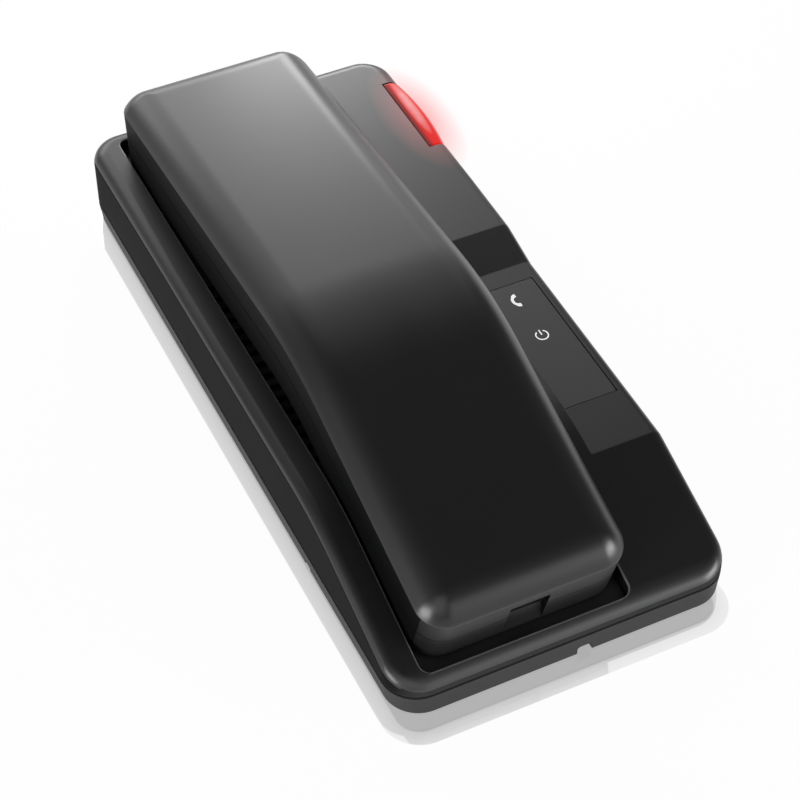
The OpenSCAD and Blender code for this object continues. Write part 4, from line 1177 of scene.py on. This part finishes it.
@dataclass
class Keypad:
    """Keys in the inner face of the handset, and the openings of that face."""

    handset: Handset
    pitch_x: float = 15.0
    pitch_s: float = 11.0
    first_s: float = 12.0
    key_w: float = 11.0
    key_l: float = 8.0
    fn_key_l: float = 6.0
    key_r: float = 1.6
    proud: float = 1.2
    gap: float = 0.35
    edge_r: float = 0.5
    bevel: float = 0.2
    stem: float = 1.9
    key_frame: float = 0.6
    round_frame: float = 0.4
    ear_back: float = 16.5
    ear_ring: float = 5.0
    ear_hole_r: float = 0.9
    voice_s: float = 24.0
    voice_r: float = 0.8
    screw_at: Pair = (16.0, 20.0)
    screw_r: float = 2.85
    tab_y: float = 88.0
    tab_past: float = 0.8
    tab_half: Pair = (5.5, 1.8)
    face_pitch: Pair = (6.0, 3.0)
    names: tuple[tuple[str, str, str], ...] = (
        ("key_flash", "key_redial", "key_mute"), ("key_star", "key_0", "key_hash"), ("key_7", "key_8", "key_9"),
        ("key_4", "key_5", "key_6"), ("key_1", "key_2", "key_3"))

    def spots(self) -> list[tuple[str, float, float, float]]:
        """Name, place across, place along and length of every key."""
        out = []
        for row, names in enumerate(self.names):
            length = self.fn_key_l if row == 0 else self.key_l
            out += [(name, -col * self.pitch_x, self.first_s + row * self.pitch_s, length)
                    for col, name in zip((-1, 0, 1), names)]
        return out

    def rounds(self) -> list[Point]:
        """Place across, place along and radius of the round openings: earpiece, microphone and screws."""
        s = self.handset.spine
        ear = s.s_ear - self.handset.shell_t - self.ear_back
        turn = np.radians(np.arange(0, 360, 45))
        ring = [(self.ear_ring * math.cos(t), ear + self.ear_ring * math.sin(t), self.ear_hole_r) for t in turn]
        x, along = self.screw_at
        return [*ring, (0.0, ear, self.ear_hole_r), (0.0, s.s_mouth + self.voice_s, self.voice_r),
                (x, s.s_mouth + along, self.screw_r), (-x, s.s_mouth + along, self.screw_r)]

    def liner(self, patch: Patchwork, x: float, s: float, half: Pair, frame: Pair, r: float) -> None:
        """Fills a rectangular opening down to a rounded one: a closed frame from face to back.

        Args:
            patch: Where it goes.
            x: Place across.
            s: Place along.
            half: Half sizes of the rounded opening.
            frame: Half sizes of the rectangle.
            r: Corner radius of the rounded opening.
        """
        def ring(size: Pair, radius: float, v: float) -> Array:
            """Points of one outline at a height."""
            box = (x - size[0], x + size[0], s - size[1], s + size[1])
            return self.handset.spine.place(*rounded_loop(box, radius, inner(2), inner(2), 8)[:, :2].T, v)

        e = self.bevel
        face, back = -self.handset.down, -self.handset.down + self.handset.shell_t
        patch.grid(np.stack([ring(frame, SQUARE, face), ring((half[0] + e, half[1] + e), r + e, face),
                             ring(half, r, face + e), ring(half, r, back), ring(frame, SQUARE, back)]),
                   wrap_rows=True)

    def pierce(self, patch: Patchwork) -> None:
        """Adds the inner face with its openings to the inner shell.

        The face is a plate over lines across and along the spine, bent with it. Key and round openings are cut
        as rectangles, and each gets a frame with the rounded shape.
        """
        h = self.handset
        frames: list[Box] = []
        for _, x, s, length in self.spots():
            half = (self.key_w / 2 + self.gap, length / 2 + self.gap)
            frame = (half[0] + self.key_frame, half[1] + self.key_frame)
            frames.append((x - frame[0], x + frame[0], s - frame[1], s + frame[1]))
            self.liner(patch, x, s, half, frame, self.key_r + self.gap)
        for x, s, r in self.rounds():
            wide = r + self.round_frame
            frames.append((x - wide, x + wide, s - wide, s + wide))
            self.liner(patch, x, s, (r, r), (wide, wide), r - SQUARE)
        tilt = h.spine.ear_tilt
        tab_s = (self.tab_y - h.spine.cy - h.spine.bend_r * math.sin(tilt)) / math.cos(tilt) + self.tab_past
        tab_x, tab_l = self.tab_half
        frames.append((-tab_x, tab_x, tab_s - tab_l, tab_s + tab_l))
        holes = np.array(frames)
        edge = h.half_w - h.face_inset
        x = lines([-edge, edge, *holes[:, 0], *holes[:, 1]], self.face_pitch[0])
        ends = (h.spine.s_mouth + h.face_inset, h.spine.s_ear - h.face_inset)
        s = lines([*ends, 0.0, -h.spine.arc, *holes[:, 2], *holes[:, 3]], self.face_pitch[1])
        patch.plate(x, s, holes, lambda px, ps: h.spine.place(px, ps, -h.down),
                    lambda px, ps: h.spine.place(px, ps, -h.down + h.shell_t))

    def build(self) -> None:
        """Makes the caps of all the keys."""
        h = self.handset
        a = np.linspace(0.0, QUARTER, 6)
        insets = [*(self.edge_r * (1 - np.sin(a))), 0.0, 0.0]
        levels = [*(-h.down - self.proud + self.edge_r * (1 - np.cos(a))), -h.down, -h.down + self.stem]
        for name, x, s, length in self.spots():
            box = (x - self.key_w / 2, x + self.key_w / 2, s - length / 2, s + length / 2)
            patch = Patchwork()
            patch.block(box, self.key_r, insets, levels, (2, 2, 8), h.spine.place)
            patch.piece(Tag(f"cap_{name}", h.finishes.key, name, Slot.KEY, (name,)))


@dataclass
class Legends:
    """Printed signs on the keys: a numeral, a mark or one letter each."""

    keypad: Keypad
    high: float = 4.0
    cap_share: float = 0.7
    thick: float = 0.04
    marks: ClassVar[dict[str, str]] = {"star": "*", "hash": "#", "flash": "F", "redial": "R", "mute": "M"}

    def sign(self, name: str, text: str) -> Mesh:
        """Makes one sign a mesh about the origin of its own plane, in millimetres."""
        curve = bpy.data.curves.new(name, "FONT")
        curve.body, curve.size, curve.extrude = text, self.high / self.cap_share, self.thick / 2
        holder = bpy.data.objects.new(name, curve)
        bpy.context.scene.collection.objects.link(holder)
        mesh = bpy.data.meshes.new_from_object(holder.evaluated_get(bpy.context.evaluated_depsgraph_get()))
        bpy.data.objects.remove(holder)
        bpy.data.curves.remove(curve)
        return mesh

    def build(self) -> None:
        """Makes every sign, laid on its key: right is against x, and up is towards the earpiece."""
        h = self.keypad.handset
        for name, x, s, length in self.keypad.spots():
            word = name.removeprefix("key_")
            mesh = self.sign(f"sign_{word}", self.marks.get(word, word))
            flat = vectors(mesh.vertices, "co")
            flat = (flat - (flat.min(axis=0) + flat.max(axis=0)) / 2) * min(1.0, length / self.keypad.key_l)
            laid = h.spine.place(x - flat[:, 0], s + flat[:, 1], -h.down - self.keypad.proud - flat[:, 2]) * MM
            mesh.vertices.foreach_set("co", laid.astype(np.float32).ravel())
            heal(mesh)
            Tag(f"sign_{word}", h.finishes.legend, name, Slot.KEY).settle(mesh)


@dataclass
class Contacts:
    """Sprung gold wires in the three sockets: each a thin flat strip that slants in from the mouth's top."""

    spine: Spine
    finishes: Finishes
    pitch: float = 1.02
    wide: float = 0.5
    thick: float = 0.25
    base_rows: tuple[tuple[str, int, float, Pair, Pair], ...] = (
        ("network_contacts", 8, 11.0, (32.0, 10.85), (41.0, 8.4)),
        ("base_cord_contacts", 4, 27.5, (31.5, 11.25), (38.5, 9.2)))
    handset_row: tuple[int, float, Pair, Pair] = (4, 0.0, (4.0, 4.65), (11.0, 2.6))

    def strips(self, count: int, x: float, start: Pair, end: Pair) -> Array:
        """Corners of the strips of one socket.

        Args:
            count: How many strips.
            x: Middle of the row.
            start: Depth and height of the end at the mouth.
            end: Depth and height of the inner end.

        Returns:
            Points by strip, end, side and face, with a last axis of x, depth and height.
        """
        mids = x + self.pitch * (np.arange(count) - (count - 1) / 2)
        side = self.wide / 2 * np.array([-1.0, 1.0])
        face = np.array([0.0, -self.thick])
        depth, height = np.array([start, end]).T[:, :, None, None]
        return points_of(mids[:, None, None, None] + side[:, None], depth, height + face)

    def row(self, name: str, body: str, points: Array) -> None:
        """Makes the strips of one socket a piece: six faces between the eight corners of each."""
        faces = np.array([[0, 1, 3, 2], [4, 6, 7, 5], [0, 4, 5, 1], [2, 3, 7, 6], [0, 2, 6, 4], [1, 5, 7, 3]])
        patch = Patchwork()
        patch.add(points.reshape(-1, 3), (faces[None] + 8 * np.arange(len(points))[:, None, None]).reshape(-1, 4))
        patch.piece(Tag(name, self.finishes.contact, body, Slot.STEEL))

    def build(self) -> None:
        """Makes the three rows."""
        for name, *row in self.base_rows:
            self.row(name, "base", self.strips(*row))
        x, deep, height = np.moveaxis(self.strips(*self.handset_row), -1, 0)
        self.row("handset_contacts", "handset", self.spine.place(x, self.spine.s_mouth + deep, height))


# Studio


@dataclass(frozen=True)
class SoftLight:
    """A rectangular soft light: its middle and size in metres, and its brightness, where 1 is white.

    A square one faces straight along the phone, and any other faces the phone's middle.
    """

    name: str
    place: Point
    size: Pair
    level: float
    square: bool = True


@dataclass
class Studio:
    """Camera, soft lights and pale floor."""

    eye: Point = (-0.18198, -0.38565, 0.44167)
    aim: Point = (-0.00585, -0.02020, 0.0154)
    phone: Point = (0.0, 0.0, 0.02)
    lens: float = 104.98
    sensor: float = 36.0
    floor_half: float = 4.0
    sky_height: tuple[Pair, ...] = (
        (0.0, 0.2), (0.2, 0.3), (0.5, 0.42), (0.7, 0.36), (0.85, 0.24), (0.95, 0.16), (1.0, 0.15))
    sky_side: tuple[Pair, ...] = ((0.1, 1.0), (0.4, 0.85), (0.6, 0.6), (0.8, 0.45), (1.0, 0.35))
    white: float = 0.96
    own_white: float = 0.96
    red: Colour = (0.96, 0.32, 0.33)
    red_centre: Point = (0.0547, 0.0945, 0.0)
    red_reach: Point = (0.0115, 0.0265, 0.01)
    strip_centre: Point = (-0.0025, -0.0052, 0.0)
    strip_half: Point = (0.036, 0.0932, 0.0)
    polish: tuple[Pair, ...] = ((0.0, 0.57), (0.6, 0.57), (0.64, 0.42), (0.97, 0.3), (1.0, 0.0))
    lights: tuple[SoftLight, ...] = (
        SoftLight("back_a", (0.0, 0.250, 0.104), (0.26, 0.085), 2.6),
        SoftLight("back_b", (0.1, 0.251, 0.122), (0.11, 0.085), 3.2),
        SoftLight("back_c", (0.0875, 0.252, 0.1), (0.075, 0.08), 3.0),
        SoftLight("back_mid", (-0.025, 0.253, 0.155), (0.47, 0.21), 0.5),
        SoftLight("back_high", (0.1, 0.254, 0.205), (0.4, 0.31), 0.25),
        SoftLight("back_top", (0.13, 0.255, 0.36), (0.5, 0.58), 0.48),
        SoftLight("back_right", (0.215, 0.256, 0.085), (0.09, 0.09), 0.8),
        SoftLight("front", (0.27, -0.85, 0.25), (0.6, 0.5), 1.1, False),
        SoftLight("key", (-0.5, -0.65, 0.6), (0.8, 0.8), 1.0, False),
        SoftLight("left_wide", (-0.78, 0.0, 0.35), (0.4, 0.4), 0.25, False),
        SoftLight("left_low", (-0.74, -0.243, 0.11), (0.42, 0.3), 12.0, False),
        SoftLight("right_low", (0.565, -0.545, 0.11), (0.42, 0.3), 12.0, False))

    def aimed(self, data: bpy.types.ID, place: Point, aim: Point) -> bpy.types.Object:
        """Links a camera or a light that looks from a place to an aim, and returns its object."""
        obj = bpy.data.objects.new(data.name, data)
        obj.location = place
        obj.rotation_euler = (Vector(aim) - Vector(place)).to_track_quat("-Z", "Y").to_euler()
        bpy.context.scene.collection.objects.link(obj)
        return obj

    def camera(self) -> None:
        """Places the camera at the photograph's view."""
        data = bpy.data.cameras.new("view")
        data.lens, data.sensor_width = self.lens, self.sensor
        bpy.context.scene.camera = self.aimed(data, self.eye, self.aim)

    def softbox(self, light: SoftLight) -> None:
        """Adds a rectangular soft light that only its reflections and its light show."""
        data = bpy.data.lights.new(light.name, "AREA")
        data.shape = "RECTANGLE"
        data.size, data.size_y = light.size
        data.energy = light.level * math.pi * light.size[0] * light.size[1]
        ahead = (light.place[0], 0.0, light.place[2])
        self.aimed(data, light.place, ahead if light.square else self.phone).visible_camera = False

    def world(self) -> None:
        """Pale surround on the left, dim on the right and dark overhead.

        The level is a ramp over the height of a direction times a ramp over how far it points to the right.
        """
        world = bpy.data.worlds.new("surround")
        world.use_nodes = True
        g = Graph(world.node_tree)
        way = g.add("SeparateXYZ", g.add("TexCoord").outputs["Generated"])
        up = g.ramp(way.outputs["Z"], self.sky_height)
        aside = g.ramp(g.math("MULTIPLY_ADD", way.outputs["X"], 0.5, addend=0.5), self.sky_side)
        sky = world.node_tree.nodes["Background"]
        g.link(g.math("MULTIPLY", up, aside), sky.inputs["Color"])
        g.set(sky, Strength=1.0)
        bpy.context.scene.world = world

    def table(self) -> Material:
        """White table top that is polished in a strip at the front and left of the phone, where it mirrors its foot.

        The strip is the footprint moved forward and left: the polish is a ramp over the length, in centimetres, of
        what a place exceeds the inner rectangle by, and ends at the corner radius. Seen directly, in gloss or
        through glass, most of the white is its own. Beside the lamp the table takes its red light.
        """
        material, g, shader = new_material("white_table")
        tone = g.mix(g.ball(self.red_centre, self.red_reach), (self.white, self.white, self.white), self.red)
        g.link(tone, shader.inputs["Base Color"])
        g.set(shader, Roughness=0.7, Specular_IOR_Level=0.1)
        nought = (0.0, 0.0, 0.0)
        over = g.place()
        for operation, operand in (("SUBTRACT", self.strip_centre), ("ABSOLUTE", nought),
                                   ("SUBTRACT", self.strip_half), ("MAXIMUM", nought)):
            node = g.add("VectorMath", over, operation=operation)
            node.inputs[1].default_value = operand
            over = node.outputs[0]
        far = g.add("VectorMath", over, operation="LENGTH").outputs["Value"]
        fade = g.ramp(g.math("MULTIPLY", far, 100.0), self.polish)
        ray = g.add("LightPath")
        seen = g.math("MAXIMUM", ray.outputs["Is Camera Ray"], ray.outputs["Is Glossy Ray"])
        seen = g.math("MAXIMUM", seen, ray.outputs["Is Transmission Ray"])
        glow = g.add("Emission", tone, Strength=1.0 / self.white)
        own = g.math("MULTIPLY", seen, self.own_white)
        backdrop = g.add("MixShader", own, shader.outputs[0], glow.outputs[0])
        mirror = g.add("BsdfGlossy", Roughness=0.04)
        top = g.add("MixShader", fade, backdrop.outputs[0], mirror.outputs[0])
        g.link(top.outputs[0], material.node_tree.nodes["Material Output"].inputs["Surface"])
        return material

    def floor(self) -> None:
        """A white table top."""
        h = self.floor_half
        mesh = bpy.data.meshes.new("floor")
        mesh.from_pydata([(-h, -h, 0.0), (h, -h, 0.0), (h, h, 0.0), (-h, h, 0.0)], [], [(0, 1, 2, 3)])
        mesh.materials.append(self.table())
        obj = bpy.data.objects.new("floor", mesh)
        bpy.context.scene.collection.objects.link(obj)

    def build(self) -> None:
        """Sets the stage."""
        self.camera()
        self.world()
        for light in self.lights:
            self.softbox(light)
        self.floor()
        bpy.context.scene.view_settings.view_transform = "Standard"


def dress_nodes(nodes: dict[str, bpy.types.Object], f: Finishes) -> None:
    """Gives each CAD node its finish; a node that isn't named here is a key.

    Args:
        nodes: The CAD objects by name.
        f: The materials.
    """
    plan = (
        (f.lower, "base_lower_case"), (f.case, "base_upper_case hook_plunger wall_rest_tab"),
        (f.rubber, "rubber_feet ringer_gasket receiver_gasket microphone_boot"), (f.membrane, "keypad_membrane"),
        (f.steel, "case_screws board_screws handset_screws handset_ballast"), (f.guide, "light_guides"),
        (f.pressed, "ringer_speaker earpiece_receiver microphone"), (f.lamp, "message_lamp_lens"),
        (f.board, "main_board lamp_light_board indicator_board handset_board"), (f.panel, "indicator_panel"),
        (f.jack, "lan_jack base_cord_jack hook_switch handset_cord_jack"),
        (f.handset, "handset_outer_shell handset_inner_shell"))
    finish = {name: material for material, names in plan for name in names.split()}
    for name, obj in nodes.items():
        for holder in obj.material_slots:
            holder.material = finish.get(name, f.key)
        LOG.info("dressed %s", name)


def main() -> None:
    """Builds the telephone's looks in order."""
    logging.basicConfig(level=logging.INFO, format="%(message)s")
    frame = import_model()
    Studio().build()
    finishes = Finishes()
    dress_nodes(frame["nodes"], finishes)
    deck, spine = Deck(), Spine()
    BaseCase(deck, spine, finishes).build()
    MessageLamp(deck, finishes).build()
    IndicatorPanel(finishes).build()
    handset = Handset(spine, finishes)
    handset.build()
    keypad = Keypad(handset)
    keypad.build()
    Legends(keypad).build()
    Contacts(spine, finishes).build()


if __name__ == "__main__":
    main()
